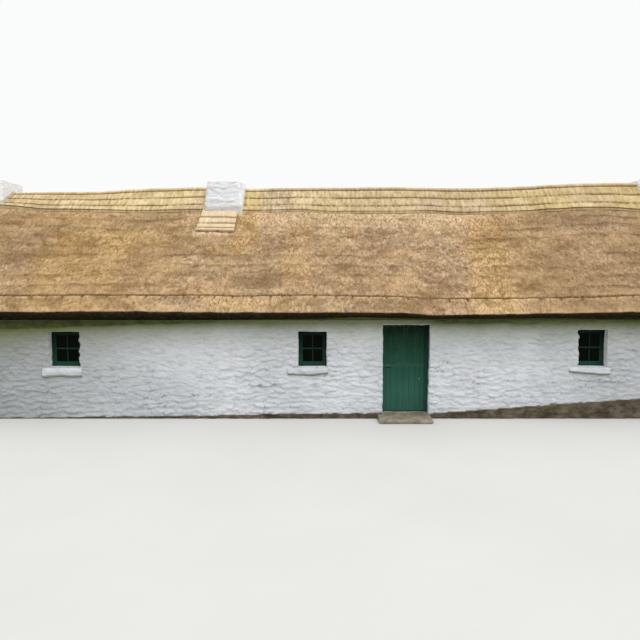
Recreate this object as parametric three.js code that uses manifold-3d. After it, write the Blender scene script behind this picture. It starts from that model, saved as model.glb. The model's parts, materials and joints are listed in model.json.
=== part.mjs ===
// A long, low, thatched stone cottage with three chimneys, a half-door and small windows.
// Millimetres, +Z up. The front faces -Y, and +X is to the right seen from the front.
// The origin is the centre of the plan, on the lowest ground.
import * as THREE from "three";
import { mergeVertices } from "three/addons/utils/BufferGeometryUtils.js";
import Module from "manifold-3d";

const GAP = 0.3; // between stones and timbers that touch

// Walls
const LENGTH = 17600;
const DEPTH = 5600;
const WALL = 600;
const FLOOR_TOP = 120;
const EAVES_SEAT = 2120; // where the outer face of a long wall meets the thatch
const ROOF_SLOPE = 0.95; // rise over run of the underside of the thatch
const HEAD_RUN = 240; // the sloping part of the wall head
const HALF_LENGTH = LENGTH / 2;
const HALF_DEPTH = DEPTH / 2;
const ROOM_X = HALF_LENGTH - WALL;
const ROOM_Y = HALF_DEPTH - WALL;

// Doorway: the half-door is hung on the left and opens inwards
const DOOR_LEFT = 1098;
const DOOR_RIGHT = 2118;
const DOOR_TOP = 2025;
const DOOR_REVEAL = 140;
const DOOR_FRAME_DEPTH = 80;
const LEFT_JAMB = 57;
const RIGHT_JAMB = 70;
const HEAD_JAMB = 60;
const DOOR_STOP = 15;
const LEAF_GAP = 6;
const LEAF = 40;
const LEAF_BOTTOM = FLOOR_TOP + 10;
const LEAF_SPLIT = 1150;
const KNOB = { x: 1915, z: 842, radius: 22, reach: 45 };
const HINGES = [300, 960, 1280, 1800]; // where each strap's knuckle stands on its pin's knuckle
const KNUCKLE = { radius: 7, high: 40, off: 8 };
const PIN = 3.5;
const PIN_PLAY = 0.5;
const STRAP = { long: 300, thick: 3, plate: 43 };
const DOORSTEP = { left: 1000, right: 2130, front: -3340, top: 100 };

// Windows: the edges of each opening, and of the stone under it
const WINDOW_REVEAL = 150;
const WINDOW_FRAME_DEPTH = 60;
const STILE = 100;
const BAR = 32;
const BAR_INSET = 5; // the bars stand back from the frame's face, and are let into its rails
const PANE = 4;
const SILL_PROUD = 60;
const SILL_REACH = 120; // a back sill runs this far past each side of its opening
const FRONT_WINDOWS = [
  { left: -6032, right: -5348, bottom: 1112, top: 1880, sillLeft: -6185, sillRight: -5304, sillBottom: 935 },
  { left: -706, right: -78, bottom: 1112, top: 1882, sillLeft: -940, sillRight: -40, sillBottom: 960 },
  { left: 5262, right: 5910, bottom: 1120, top: 1922, sillLeft: 5080, sillRight: 5985, sillBottom: 990 },
];
const BACK_WINDOWS = [FRONT_WINDOWS[0], FRONT_WINDOWS[2]].map((w) => (
  { ...w, sillLeft: w.left - SILL_REACH, sillRight: w.right + SILL_REACH }
));

// Thatch
const VERGE = 120; // the thatch runs this far past each gable
const EAVES_REACH = 300;
const EAVES_LIP = 2270;
const LIP_ROUND = 60;
const THATCH_RIDGE = 5210;
const CAP = 80; // thickness of the ridge cap
const CAP_RUN = 630; // from the ridge to the lower edge of the cap
const CAP_EDGE = 0.7 * CAP; // how far the cap's lower edge stands above the thatch
const CAP_CROWN = 0.9 * CAP; // the same at the foot of the roll along the top
const ROLL = 60;
const APRON = 50;
const APRON_FOOT = 1190;
const APRON_PLAN = { headLeft: -3010, headRight: -2239, footLeft: -3178, footRight: -2267 };
const STATIONS = 60;
const EAVES_LINE = [
  [-8920, 2270], [-6900, 2284], [-4200, 2311], [-1700, 2298], [0, 2290], [1400, 2270],
  [2300, 2217], [3500, 2228], [4750, 2249], [6400, 2290], [8920, 2300],
];
const CAP_FOOT_LINE = [
  [-8920, 4795], [-8035, 4789], [-7740, 4775], [-7320, 4736], [-7120, 4705], [-6556, 4695],
  [-4610, 4665], [-3107, 4690], [-1653, 4670], [-889, 4692], [171, 4644], [1329, 4644],
  [2216, 4661], [3275, 4620], [4113, 4642], [4778, 4661], [5419, 4700], [6257, 4738],
  [6749, 4738], [7636, 4692], [8920, 4690],
];
const RIDGE_LINE = [
  [-8920, 5145], [-7950, 5155], [-6810, 5170], [-5880, 5172], [-5470, 5195], [-5000, 5235],
  [-4335, 5262], [-3300, 5290], [-2150, 5248], [-840, 5275], [1560, 5290], [2800, 5268],
  [3600, 5268], [4280, 5286], [4970, 5310], [5650, 5352], [6340, 5388], [8920, 5405],
];

// Chimneys
const MIDDLE_STACK = { left: -2970, right: -2205, front: -650, back: 700, top: 5360 };
const END_STACK_HALF = 550;
const END_STACK_SEAT = 4200;
const LEFT_STACK = { inner: -8050, outer: -HALF_LENGTH, top: 5415 };
const RIGHT_STACK = { inner: 7870, outer: HALF_LENGTH, top: 5490 };
const FLUE = 300;
const FLUE_DEPTH = 750; // how far the flue of an end stack goes down
const HEARTH = { width: 900, height: 1100, depth: 480 };

// Roof timbers
const RAFTER_WIDTH = 75;
const RAFTER_DROP = 138; // depth of a rafter, measured straight down
const RAFTER_STEP = 1200;
const FIRST_RAFTER = -6830;
const RAFTERS = 13;
const COLLAR_EVERY = 3;
const COLLAR = { bottom: 3640, top: 3760, thick: 50 };
const PURLIN = 100;
const PURLIN_Y = 1300;
const PLATE = { inner: 2300, outer: 2420, high: 60 };
const RIDGE_BEAM = { half: 30, deep: 160 };

const wasm = await Module();
wasm.setup();

const materials = {
  whitewash: { color: 0xd2d3d2, roughness: 0.95 },
  stone: { color: 0x968c7d, roughness: 0.9 },
  thatch: { color: 0xb8935f, roughness: 1 },
  straw: { color: 0xd7c38c, roughness: 1 },
  timber: { color: 0x6b5138, roughness: 0.85 },
  green_paint: { color: 0x28503f, roughness: 0.55 },
  glass: { color: 0x0a0f08, roughness: 0.1 },
  metal: { color: 0x6f8a7e, roughness: 0.5, metalness: 0.4 },
};

// A closed three.js geometry as a solid that can be joined and cut.
function solid(geometry) {
  const bare = geometry.clone();
  bare.deleteAttribute("normal");
  bare.deleteAttribute("uv");
  const merged = mergeVertices(bare, 1e-3);
  return new wasm.Manifold(
    new wasm.Mesh({
      numProp: 3,
      vertProperties: new Float32Array(merged.attributes.position.array),
      triVerts: new Uint32Array(merged.index.array),
    }),
  );
}

function geometryOf(body) {
  const mesh = body.getMesh();
  const geometry = new THREE.BufferGeometry();
  geometry.setAttribute("position", new THREE.BufferAttribute(mesh.vertProperties, 3));
  geometry.setIndex(new THREE.BufferAttribute(mesh.triVerts, 1));
  geometry.computeVertexNormals();
  return geometry;
}

// A box between two corners.
function block(x0, y0, z0, x1, y1, z1) {
  const geometry = new THREE.BoxGeometry(x1 - x0, y1 - y0, z1 - z0);
  return solid(geometry.translate((x0 + x1) / 2, (y0 + y1) / 2, (z0 + z1) / 2));
}

// An outline of [y, z] points carried along X from x0 to x1.
function beamGeometry(outline, x0, x1, steps = 1) {
  const shape = new THREE.Shape(outline.map(([y, z]) => new THREE.Vector2(y, z)));
  const geometry = new THREE.ExtrudeGeometry(shape, { depth: x1 - x0, steps, bevelEnabled: false });
  const axes = new THREE.Matrix4().makeBasis(
    new THREE.Vector3(0, 1, 0),
    new THREE.Vector3(0, 0, 1),
    new THREE.Vector3(1, 0, 0),
  );
  return geometry.applyMatrix4(axes).translate(x0, 0, 0);
}

function beam(outline, x0, x1) {
  return solid(beamGeometry(outline, x0, x1));
}

// The height of a surveyed line at x, eased between its points.
function lineAt(points, x) {
  const next = points.findIndex(([px]) => px >= x);
  if (next <= 0) return points[next < 0 ? points.length - 1 : 0][1];
  const [x0, z0] = points[next - 1];
  const [x1, z1] = points[next];
  return z0 + (z1 - z0) * THREE.MathUtils.smoothstep(x, x0, x1);
}

// The underside of the thatch, and the top of everything that carries it.
function roofUnderside(y) {
  return EAVES_SEAT + ROOF_SLOPE * (HALF_DEPTH - Math.abs(y));
}

// The outer surface of the thatch before its lines are lifted.
function thatchTop(y) {
  const run = (HALF_DEPTH + EAVES_REACH - Math.abs(y)) / (HALF_DEPTH + EAVES_REACH);
  return EAVES_LIP + LIP_ROUND + (THATCH_RIDGE - EAVES_LIP - LIP_ROUND) * run;
}

// How far the outer skin is lifted at x and y: straight between the three surveyed lines.
function roofLift(x, y) {
  const ridge = lineAt(RIDGE_LINE, x) - THATCH_RIDGE - CAP;
  const foot = lineAt(CAP_FOOT_LINE, x) - thatchTop(CAP_RUN) - CAP_EDGE;
  const eaves = lineAt(EAVES_LINE, x) - EAVES_LIP;
  const out = Math.min(Math.abs(y), HALF_DEPTH + EAVES_REACH);
  if (out < CAP_RUN) return THREE.MathUtils.lerp(ridge, foot, out / CAP_RUN);
  return THREE.MathUtils.lerp(foot, eaves, (out - CAP_RUN) / (HALF_DEPTH + EAVES_REACH - CAP_RUN));
}

// Lifts the outer skin of a roof solid to the surveyed lines.
function followRoofLines(geometry) {
  const place = geometry.attributes.position;
  for (let i = 0; i < place.count; i++) {
    const [x, y, z] = [place.getX(i), place.getY(i), place.getZ(i)];
    if (z < roofUnderside(y) + 1 && Math.abs(y) < HALF_DEPTH + 1) continue;
    place.setZ(i, z + roofLift(x, y));
  }
  return geometry;
}

// Mirrors an outline of [y, z] points in the plane y = 0 and keeps its sense.
function mirrored(outline) {
  return outline.map(([y, z]) => [-y, z]).reverse();
}

function thatchOutline() {
  const lip = -(HALF_DEPTH + EAVES_REACH);
  return [
    [-HALF_DEPTH, EAVES_SEAT],
    [-GAP, roofUnderside(GAP)],
    [-GAP, thatchTop(0)],
    [-CAP_RUN, thatchTop(CAP_RUN)],
    [-APRON_FOOT, thatchTop(APRON_FOOT)],
    [-HALF_DEPTH, thatchTop(HALF_DEPTH)],
    [lip + LIP_ROUND / 2, thatchTop(lip) + LIP_ROUND / 4],
    [lip, EAVES_LIP + LIP_ROUND / 3],
    [lip + LIP_ROUND / 4, EAVES_LIP - LIP_ROUND / 2],
  ];
}

// A full-length roof solid with its outer skin lifted to the surveyed lines.
function roofSolid(outline) {
  const end = HALF_LENGTH + VERGE;
  return solid(followRoofLines(beamGeometry(outline, -end, end, STATIONS)));
}

// The space that the three stacks take from the roof cover.
function stackHoles() {
  const s = MIDDLE_STACK;
  const end = HALF_LENGTH + 2 * VERGE;
  const middle = block(s.left - GAP, s.front - GAP, 0, s.right + GAP, s.back + GAP, s.top + WALL);
  const half = END_STACK_HALF + GAP;
  const left = block(-end, -half, 0, LEFT_STACK.inner + GAP, half, LEFT_STACK.top + WALL);
  const right = block(RIGHT_STACK.inner - GAP, -half, 0, end, half, RIGHT_STACK.top + WALL);
  return middle.add(left).add(right);
}

// Two straw bands over the ridge with a roll along the top.
function capOutline() {
  const foot = thatchTop(CAP_RUN);
  return [
    [-CAP_RUN, foot - CAP / 2],
    [0, thatchTop(0) - CAP / 2],
    [CAP_RUN, foot - CAP / 2],
    [CAP_RUN, foot + CAP_EDGE],
    [ROLL, thatchTop(ROLL) + CAP_CROWN],
    [0, THATCH_RIDGE + CAP],
    [-ROLL, thatchTop(ROLL) + CAP_CROWN],
    [-CAP_RUN, foot + CAP_EDGE],
  ];
}

// A pale straw band below the middle stack, wider at its foot.
function apronRaw(side) {
  const head = side < 0 ? -MIDDLE_STACK.front : MIDDLE_STACK.back;
  const outline = [
    [-APRON_FOOT, thatchTop(APRON_FOOT) - APRON],
    [-head - GAP, thatchTop(head) - APRON],
    [-head - GAP, thatchTop(head) + APRON],
    [-APRON_FOOT, thatchTop(APRON_FOOT) + APRON],
  ];
  const plan = new THREE.Shape([
    new THREE.Vector2(APRON_PLAN.footLeft, -APRON_FOOT - 1),
    new THREE.Vector2(APRON_PLAN.footRight, -APRON_FOOT - 1),
    new THREE.Vector2(APRON_PLAN.headRight, 0),
    new THREE.Vector2(APRON_PLAN.headLeft, 0),
  ]);
  const prism = new THREE.ExtrudeGeometry(plan, { depth: 2 * THATCH_RIDGE, bevelEnabled: false });
  if (side < 0) return roofSolid(outline).intersect(solid(prism));
  const behind = prism.rotateZ(Math.PI).translate(MIDDLE_STACK.left + MIDDLE_STACK.right, 0, 0);
  return roofSolid(mirrored(outline)).intersect(solid(behind));
}

// A long wall's section: plumb faces and a head that slopes up under the thatch.
function wallOutline(bottom) {
  const head = EAVES_SEAT + ROOF_SLOPE * HEAD_RUN - GAP;
  return [
    [-HALF_DEPTH, bottom],
    [-ROOM_Y, bottom],
    [-ROOM_Y, head],
    [-HALF_DEPTH + HEAD_RUN, head],
    [-HALF_DEPTH, EAVES_SEAT - GAP],
  ];
}

// Cuts a window opening and the seat of its stone from the front wall.
function cutWindow(wall, w) {
  const light = block(w.left, -HALF_DEPTH - 1, w.bottom, w.right, -ROOM_Y + 1, w.top);
  const seat = block(
    w.sillLeft - GAP, -HALF_DEPTH - 1, w.sillBottom - GAP,
    w.sillRight + GAP, -HALF_DEPTH + WINDOW_REVEAL + GAP, w.bottom,
  );
  return wall.subtract(light).subtract(seat);
}

function gable(side) {
  const notch = END_STACK_HALF + GAP;
  const outline = [
    [-HALF_DEPTH, 0],
    [HALF_DEPTH, 0],
    [HALF_DEPTH, EAVES_SEAT - GAP],
    [notch, roofUnderside(notch) - GAP],
    [notch, END_STACK_SEAT],
    [-notch, END_STACK_SEAT],
    [-notch, roofUnderside(notch) - GAP],
    [-HALF_DEPTH, EAVES_SEAT - GAP],
  ];
  const [x0, x1] = side < 0 ? [-HALF_LENGTH, -ROOM_X - GAP] : [ROOM_X + GAP, HALF_LENGTH];
  return beam(outline, x0, x1);
}

// A stack on the gable, with the breast that carries it down to the floor.
function endChimney({ inner, outer, top }) {
  const h = END_STACK_HALF;
  const room = Math.sign(inner) * (ROOM_X - GAP);
  const spread = (a, b, z0, z1) => block(Math.min(a, b), -h, z0, Math.max(a, b), h, z1);
  const breast = spread(inner, room, FLOOR_TOP + GAP, END_STACK_SEAT + WALL);
  const stack = spread(inner, outer, END_STACK_SEAT + GAP, top);
  const centre = (inner + outer) / 2;
  const f = FLUE / 2;
  const flue = block(centre - f, -f, top - FLUE_DEPTH, centre + f, f, top + 1);
  return breast.add(stack).subtract(flue);
}

// The middle stack and its breast, with a hearth that opens towards the door.
function middleChimney() {
  const s = MIDDLE_STACK;
  const middle = (s.front + s.back) / 2;
  const body = block(s.left, s.front, FLOOR_TOP + GAP, s.right, s.back, s.top);
  const hearth = block(
    s.right - HEARTH.depth, middle - HEARTH.width / 2, FLOOR_TOP,
    s.right + 1, middle + HEARTH.width / 2, FLOOR_TOP + HEARTH.height,
  );
  const centre = (s.left + s.right) / 2;
  const f = FLUE / 2;
  const throat = FLOOR_TOP + HEARTH.height - 1;
  const flue = block(centre - f, middle - f, throat, centre + f, middle + f, s.top + 1);
  return body.subtract(hearth).subtract(flue);
}

// A frame of four rails and crossed bars in the opening, set back from the wall face.
function windowFrame(w) {
  const y0 = -HALF_DEPTH + WINDOW_REVEAL + GAP;
  const y1 = y0 + WINDOW_FRAME_DEPTH;
  const [x0, x1] = [w.left + GAP, w.right - GAP];
  const [z0, z1] = [w.bottom + GAP, w.top - GAP];
  const outer = block(x0, y0, z0, x1, y1, z1);
  const light = block(x0 + STILE, y0 - 1, z0 + STILE, x1 - STILE, y1 + 1, z1 - STILE);
  const [xm, zm] = [(x0 + x1) / 2, (z0 + z1) / 2];
  const [near, far] = [y0 + BAR_INSET, y0 + WINDOW_FRAME_DEPTH / 2];
  const letIn = STILE - BAR_INSET;
  const upright = block(xm - BAR / 2, near, z0 + letIn, xm + BAR / 2, far, z1 - letIn);
  const level = block(x0 + letIn, near, zm - BAR / 2, x1 - letIn, far, zm + BAR / 2);
  return outer.subtract(light).add(upright).add(level);
}

// One sheet behind the bars.
function windowGlass(w) {
  const y0 = -HALF_DEPTH + WINDOW_REVEAL + WINDOW_FRAME_DEPTH / 2 + 2 * GAP;
  const inset = STILE + 2 * GAP;
  return block(w.left + inset, y0, w.bottom + inset, w.right - inset, y0 + PANE, w.top - inset);
}

function windowSill(w) {
  return block(
    w.sillLeft, -HALF_DEPTH - SILL_PROUD, w.sillBottom,
    w.sillRight, -HALF_DEPTH + WINDOW_REVEAL, w.bottom - GAP,
  );
}

const doorFace = -HALF_DEPTH + DOOR_REVEAL; // front of the door frame
const leafFront = doorFace + DOOR_FRAME_DEPTH - LEAF;
const leafLeft = DOOR_LEFT + LEFT_JAMB + LEAF_GAP;
const leafRight = DOOR_RIGHT - RIGHT_JAMB - LEAF_GAP;
const leafTop = DOOR_TOP - HEAD_JAMB - LEAF_GAP;

// Jambs and head with a stop that the leaves close against.
function doorFrame() {
  const [x0, x1] = [DOOR_LEFT + GAP, DOOR_RIGHT - GAP];
  const [z0, z1] = [FLOOR_TOP + GAP, DOOR_TOP - GAP];
  const back = doorFace + DOOR_FRAME_DEPTH;
  const outer = block(x0, doorFace, z0, x1, back, z1);
  const rebate = block(
    DOOR_LEFT + LEFT_JAMB, leafFront - 5, z0 - 1,
    DOOR_RIGHT - RIGHT_JAMB, back + 1, DOOR_TOP - HEAD_JAMB,
  );
  const light = block(
    DOOR_LEFT + LEFT_JAMB + DOOR_STOP, doorFace - 1, z0 - 1,
    DOOR_RIGHT - RIGHT_JAMB - DOOR_STOP, back + 1, DOOR_TOP - HEAD_JAMB - DOOR_STOP,
  );
  return outer.subtract(rebate).subtract(light);
}

function leaf(z0, z1) {
  return block(leafLeft, leafFront, z0, leafRight, leafFront + LEAF, z1);
}

const axisX = DOOR_LEFT + LEFT_JAMB + LEAF_GAP / 2;
const axisY = leafFront + LEAF + KNUCKLE.off;
const strapFace = leafFront + LEAF + GAP;

function post(radius, z0, z1) {
  const round = new THREE.CylinderGeometry(radius, radius, z1 - z0, 12).rotateX(Math.PI / 2);
  return solid(round.translate(axisX, axisY, (z0 + z1) / 2));
}

// A strap along the leaf that ends in a bored knuckle.
function hingeStrap(z) {
  const half = LEAF_GAP / 2;
  const back = strapFace + STRAP.thick;
  const strap = block(axisX + half, strapFace, z, axisX + STRAP.long, back, z + KNUCKLE.high);
  const bore = post(PIN + PIN_PLAY, z - 1, z + KNUCKLE.high + 1);
  return strap.add(post(KNUCKLE.radius, z, z + KNUCKLE.high)).subtract(bore);
}

// A plate on the jamb with the knuckle and pin that the strap turns on.
function hingePin(z) {
  const low = z - KNUCKLE.high;
  const plate = block(axisX - STRAP.plate, strapFace, low, axisX - 2, strapFace + STRAP.thick, z - GAP);
  return plate.add(post(KNUCKLE.radius, low, z - GAP)).add(post(PIN, low + 1, z + KNUCKLE.high));
}

// A turned pull on a short neck, seated on the lower leaf.
function knob() {
  const r = KNOB.radius;
  const profile = [
    [0, 0], [0.6 * r, 0], [0.4 * r, 0.4 * KNOB.reach], [r, 0.6 * KNOB.reach],
    [0.9 * r, 0.85 * KNOB.reach], [0, KNOB.reach],
  ].map(([x, y]) => new THREE.Vector2(x, y));
  const pull = new THREE.LatheGeometry(profile, 16).rotateX(Math.PI);
  return solid(pull.translate(KNOB.x, leafFront - GAP, KNOB.z));
}

// One slope's rafters, joined by the wall plate at their feet and a purlin under them.
function rafterSide(side) {
  const foot = EAVES_SEAT + ROOF_SLOPE * HEAD_RUN + GAP;
  const tip = RIDGE_BEAM.half + GAP;
  const toe = HALF_DEPTH - (foot - EAVES_SEAT + GAP) / ROOF_SLOPE;
  const heel = HALF_DEPTH - (foot - EAVES_SEAT + RAFTER_DROP) / ROOF_SLOPE;
  const front = [
    [-toe, foot],
    [-heel, foot],
    [-tip, roofUnderside(tip) - RAFTER_DROP],
    [-tip, roofUnderside(tip) - GAP],
  ];
  const outline = side < 0 ? front : mirrored(front);
  const end = ROOM_X - GAP;
  const rail = (near, far, z0, z1) => (
    block(-end, Math.min(side * near, side * far), z0, end, Math.max(side * near, side * far), z1)
  );
  const purlinTop = roofUnderside(PURLIN_Y) - RAFTER_DROP + PURLIN / 3;
  let lattice = rail(PLATE.inner, PLATE.outer, foot, foot + PLATE.high)
    .add(rail(PURLIN_Y - PURLIN / 2, PURLIN_Y + PURLIN / 2, purlinTop - PURLIN, purlinTop));
  for (let i = 0; i < RAFTERS; i++) {
    const x = FIRST_RAFTER + i * RAFTER_STEP;
    lattice = lattice.add(beam(outline, x - RAFTER_WIDTH / 2, x + RAFTER_WIDTH / 2));
  }
  return lattice;
}

function ridgeBeam(x0, x1) {
  const top = roofUnderside(RIDGE_BEAM.half) - 1;
  return block(x0, -RIDGE_BEAM.half, top - RIDGE_BEAM.deep, x1, RIDGE_BEAM.half, top);
}

// A tie lapped against the side of a pair of rafters.
function collar(x) {
  const reach = (z) => HALF_DEPTH - (z - EAVES_SEAT) / ROOF_SLOPE - 5;
  const outline = [
    [-reach(COLLAR.bottom), COLLAR.bottom],
    [reach(COLLAR.bottom), COLLAR.bottom],
    [reach(COLLAR.top), COLLAR.top],
    [-reach(COLLAR.top), COLLAR.top],
  ];
  const face = x + RAFTER_WIDTH / 2 + GAP;
  return beam(outline, face, face + COLLAR.thick);
}

const cottage = new THREE.Group();

function place(name, material, body) {
  const mesh = new THREE.Mesh(geometryOf(body), new THREE.MeshStandardMaterial(materials[material]));
  mesh.name = name;
  cottage.add(mesh);
}

function turned(body) {
  return body.rotate([0, 0, 180]);
}

// A back window as it is before the half turn that takes it to the back.
function beforeTurn(w) {
  return { ...w, left: -w.right, right: -w.left, sillLeft: -w.sillRight, sillRight: -w.sillLeft };
}

function placeWalls() {
  const end = ROOM_X;
  const left = beam(wallOutline(0), -end, DOOR_LEFT);
  place("front_wall_left", "whitewash", FRONT_WINDOWS.slice(0, 2).reduce(cutWindow, left));
  const right = beam(wallOutline(0), DOOR_RIGHT, end);
  place("front_wall_right", "whitewash", cutWindow(right, FRONT_WINDOWS[2]));
  const over = beam(wallOutline(DOOR_TOP), DOOR_LEFT + GAP, DOOR_RIGHT - GAP);
  place("front_wall_over_door", "whitewash", over);
  const back = BACK_WINDOWS.map(beforeTurn).reduce(cutWindow, beam(wallOutline(0), -end, end));
  place("back_wall", "whitewash", turned(back));
  place("left_gable", "whitewash", gable(-1));
  place("right_gable", "whitewash", gable(1));
}

function placeFloor() {
  place("floor", "stone", block(-ROOM_X + GAP, -ROOM_Y + GAP, 0, ROOM_X - GAP, ROOM_Y - GAP, FLOOR_TOP));
  place("threshold", "stone", block(
    DOOR_LEFT + GAP, -HALF_DEPTH, 0, DOOR_RIGHT - GAP, -ROOM_Y, FLOOR_TOP,
  ));
  const d = DOORSTEP;
  place("doorstep", "stone", block(d.left, d.front, 0, d.right, -HALF_DEPTH - GAP, d.top));
}

function placeWindows() {
  FRONT_WINDOWS.forEach((w, i) => {
    place(`window_frame_${i + 1}`, "green_paint", windowFrame(w));
    place(`glass_${i + 1}`, "glass", windowGlass(w));
    place(`sill_${i + 1}`, "whitewash", windowSill(w));
  });
  BACK_WINDOWS.forEach((w, i) => {
    const n = FRONT_WINDOWS.length + i + 1;
    place(`window_frame_${n}`, "green_paint", turned(windowFrame(beforeTurn(w))));
    place(`glass_${n}`, "glass", turned(windowGlass(beforeTurn(w))));
    place(`sill_${n}`, "whitewash", turned(windowSill(beforeTurn(w))));
  });
}

function placeDoor() {
  place("door_frame", "green_paint", doorFrame());
  place("door_lower_leaf", "green_paint", leaf(LEAF_BOTTOM, LEAF_SPLIT - LEAF_GAP / 2));
  place("door_upper_leaf", "green_paint", leaf(LEAF_SPLIT + LEAF_GAP / 2, leafTop));
  place("door_knob", "metal", knob());
  HINGES.forEach((z, i) => {
    place(`hinge_strap_${i + 1}`, "metal", hingeStrap(z));
    place(`hinge_pin_${i + 1}`, "metal", hingePin(z));
  });
}

function placeRoof() {
  const holes = stackHoles();
  const front = roofSolid(thatchOutline());
  const back = roofSolid(mirrored(thatchOutline()));
  place("front_thatch", "thatch", front.subtract(holes));
  place("back_thatch", "thatch", back.subtract(holes));
  const cover = front.add(back).translate([0, 0, 2 * GAP]);
  const end = HALF_LENGTH + VERGE;
  const crown = block(-end, -GAP, roofUnderside(0), end, GAP, THATCH_RIDGE - CAP);
  const cap = roofSolid(capOutline()).subtract(cover).subtract(crown).subtract(holes);
  const s = MIDDLE_STACK;
  const tall = 2 * THATCH_RIDGE;
  const leftSpan = block(-end, -CAP_RUN - 1, 0, s.left - GAP, CAP_RUN + 1, tall);
  const rightSpan = block(s.right + GAP, -CAP_RUN - 1, 0, end, CAP_RUN + 1, tall);
  place("ridge_cap_left", "straw", cap.intersect(leftSpan));
  place("ridge_cap_right", "straw", cap.intersect(rightSpan));
  place("front_apron", "straw", apronRaw(-1).subtract(cover).subtract(holes));
  place("back_apron", "straw", apronRaw(1).subtract(cover).subtract(holes));
}

function placeTimbers() {
  place("front_rafters", "timber", rafterSide(-1));
  place("back_rafters", "timber", rafterSide(1));
  place("ridge_beam_left", "timber", ridgeBeam(LEFT_STACK.inner + GAP, MIDDLE_STACK.left - GAP));
  place("ridge_beam_right", "timber", ridgeBeam(MIDDLE_STACK.right + GAP, RIGHT_STACK.inner - GAP));
  for (let i = 0, n = 1; i < RAFTERS; i += COLLAR_EVERY, n++) {
    place(`collar_${n}`, "timber", collar(FIRST_RAFTER + i * RAFTER_STEP));
  }
}

placeFloor();
placeWalls();
placeWindows();
placeDoor();
placeTimbers();
placeRoof();
place("left_chimney", "whitewash", endChimney(LEFT_STACK));
place("middle_chimney", "whitewash", middleChimney());
place("right_chimney", "whitewash", endChimney(RIGHT_STACK));

export default cottage;
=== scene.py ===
"""A thatched cottage: limewashed rubble walls, a stitched straw roof, three stacks and a green half-door.

Metres, +Z up. The front faces -Y. Every surface is worked out on a grid of two parameters.
"""
import json
import math

import bmesh
import bpy
import numpy as np
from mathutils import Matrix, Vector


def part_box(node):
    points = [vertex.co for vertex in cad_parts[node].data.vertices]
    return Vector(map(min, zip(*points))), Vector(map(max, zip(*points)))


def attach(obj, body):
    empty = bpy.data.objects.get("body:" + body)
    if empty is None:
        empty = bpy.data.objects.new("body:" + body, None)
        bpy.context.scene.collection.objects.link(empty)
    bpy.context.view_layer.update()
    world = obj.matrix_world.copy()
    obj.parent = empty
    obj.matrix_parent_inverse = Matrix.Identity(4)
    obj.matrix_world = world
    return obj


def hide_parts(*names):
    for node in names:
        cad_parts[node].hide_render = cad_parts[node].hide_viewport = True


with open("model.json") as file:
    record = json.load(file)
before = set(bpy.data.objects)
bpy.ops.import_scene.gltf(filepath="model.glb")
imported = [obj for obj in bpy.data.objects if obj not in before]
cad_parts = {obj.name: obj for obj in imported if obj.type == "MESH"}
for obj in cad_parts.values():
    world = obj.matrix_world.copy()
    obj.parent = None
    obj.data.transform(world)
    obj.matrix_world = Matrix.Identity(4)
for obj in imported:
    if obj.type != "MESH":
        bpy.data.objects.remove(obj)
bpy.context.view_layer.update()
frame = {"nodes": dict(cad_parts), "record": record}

# Sizes read from the frame
HALF_X, HALF_Y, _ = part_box("right_gable")[1]
VERGE_X, LIP_Y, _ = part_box("back_thatch")[1]
STACKS = {n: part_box(n) for n in ("left_chimney", "middle_chimney", "right_chimney")}

# The roof as it is before its lines are lifted
WALL_TOP = 2.12
ROOF_SLOPE = 0.95
LIP_TOP = 2.33
LIP_LOW = 2.27
CROWN = 5.21
PITCH = math.atan2(CROWN - LIP_TOP, LIP_Y)
SLOPE_LONG = math.hypot(LIP_Y, CROWN - LIP_TOP)

# The ridge cap: its thickness at the crown and the foot, its half width and its stitched lines
CAP = 0.08
CAP_EDGE = 0.056
CAP_RUN = 0.63
CAP_LINES = (0.06, 0.285, 0.5)
SIDE_FOLD = (1, 0.6, 0.2)

# The apron: where it ends, its thickness, lines and columns; the x of each side at the ridge, and its flare
APRON_FOOT = 1.19
APRON = 0.05
APRON_LINES = (0.845, 1.015, 1.145)
APRON_COLUMNS = 54
APRON_SIDES = ((-3.01, -0.168), (-2.239, -0.028))

# The coat of straw: its courses, the stitched line above the eaves, the ties along it, and its rows
COURSE = 0.335
STITCH = 0.44
TICK = 0.4
CUT_ROWS = 15
UNDER_ROWS = 7

# Joinery: the widths of a window's frame and sash, a glazing bar's half sizes, a board joint's half width
FRAME_WIDE = 0.04
SASH_WIDE = 0.1
GLAZING = (0.013, 0.0115)
GROOVE = 0.0045

# The limewash: the round of a corner, how far it stands out, its room beside a frame, the gable's head
CORNER = 0.035
PROUD = 0.022
EDGE = 0.0003
GABLE_HEAD = 4.32
FLUE = 0.148

# The surveyed lines of the roof, as x and height
EAVES_LINE = (
    (-8.92, 2.27), (-6.9, 2.284), (-4.2, 2.311), (-1.7, 2.298), (0, 2.29), (1.4, 2.27),
    (2.3, 2.217), (3.5, 2.228), (4.75, 2.249), (6.4, 2.29), (8.92, 2.3),
)
CAP_FOOT_LINE = (
    (-8.92, 4.795), (-8.035, 4.789), (-7.74, 4.775), (-7.32, 4.736), (-7.12, 4.705), (-6.556, 4.695),
    (-4.61, 4.665), (-3.107, 4.69), (-1.653, 4.67), (-0.889, 4.692), (0.171, 4.644), (1.329, 4.644),
    (2.216, 4.661), (3.275, 4.62), (4.113, 4.642), (4.778, 4.661), (5.419, 4.7), (6.257, 4.738),
    (6.749, 4.738), (7.636, 4.692), (8.92, 4.69),
)
RIDGE_LINE = (
    (-8.92, 5.145), (-7.95, 5.155), (-6.81, 5.17), (-5.88, 5.172), (-5.47, 5.195), (-5, 5.235),
    (-4.335, 5.262), (-3.3, 5.29), (-2.15, 5.248), (-0.84, 5.275), (1.56, 5.29), (2.8, 5.268),
    (3.6, 5.268), (4.28, 5.286), (4.97, 5.31), (5.65, 5.352), (6.34, 5.388), (8.92, 5.405),
)

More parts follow.
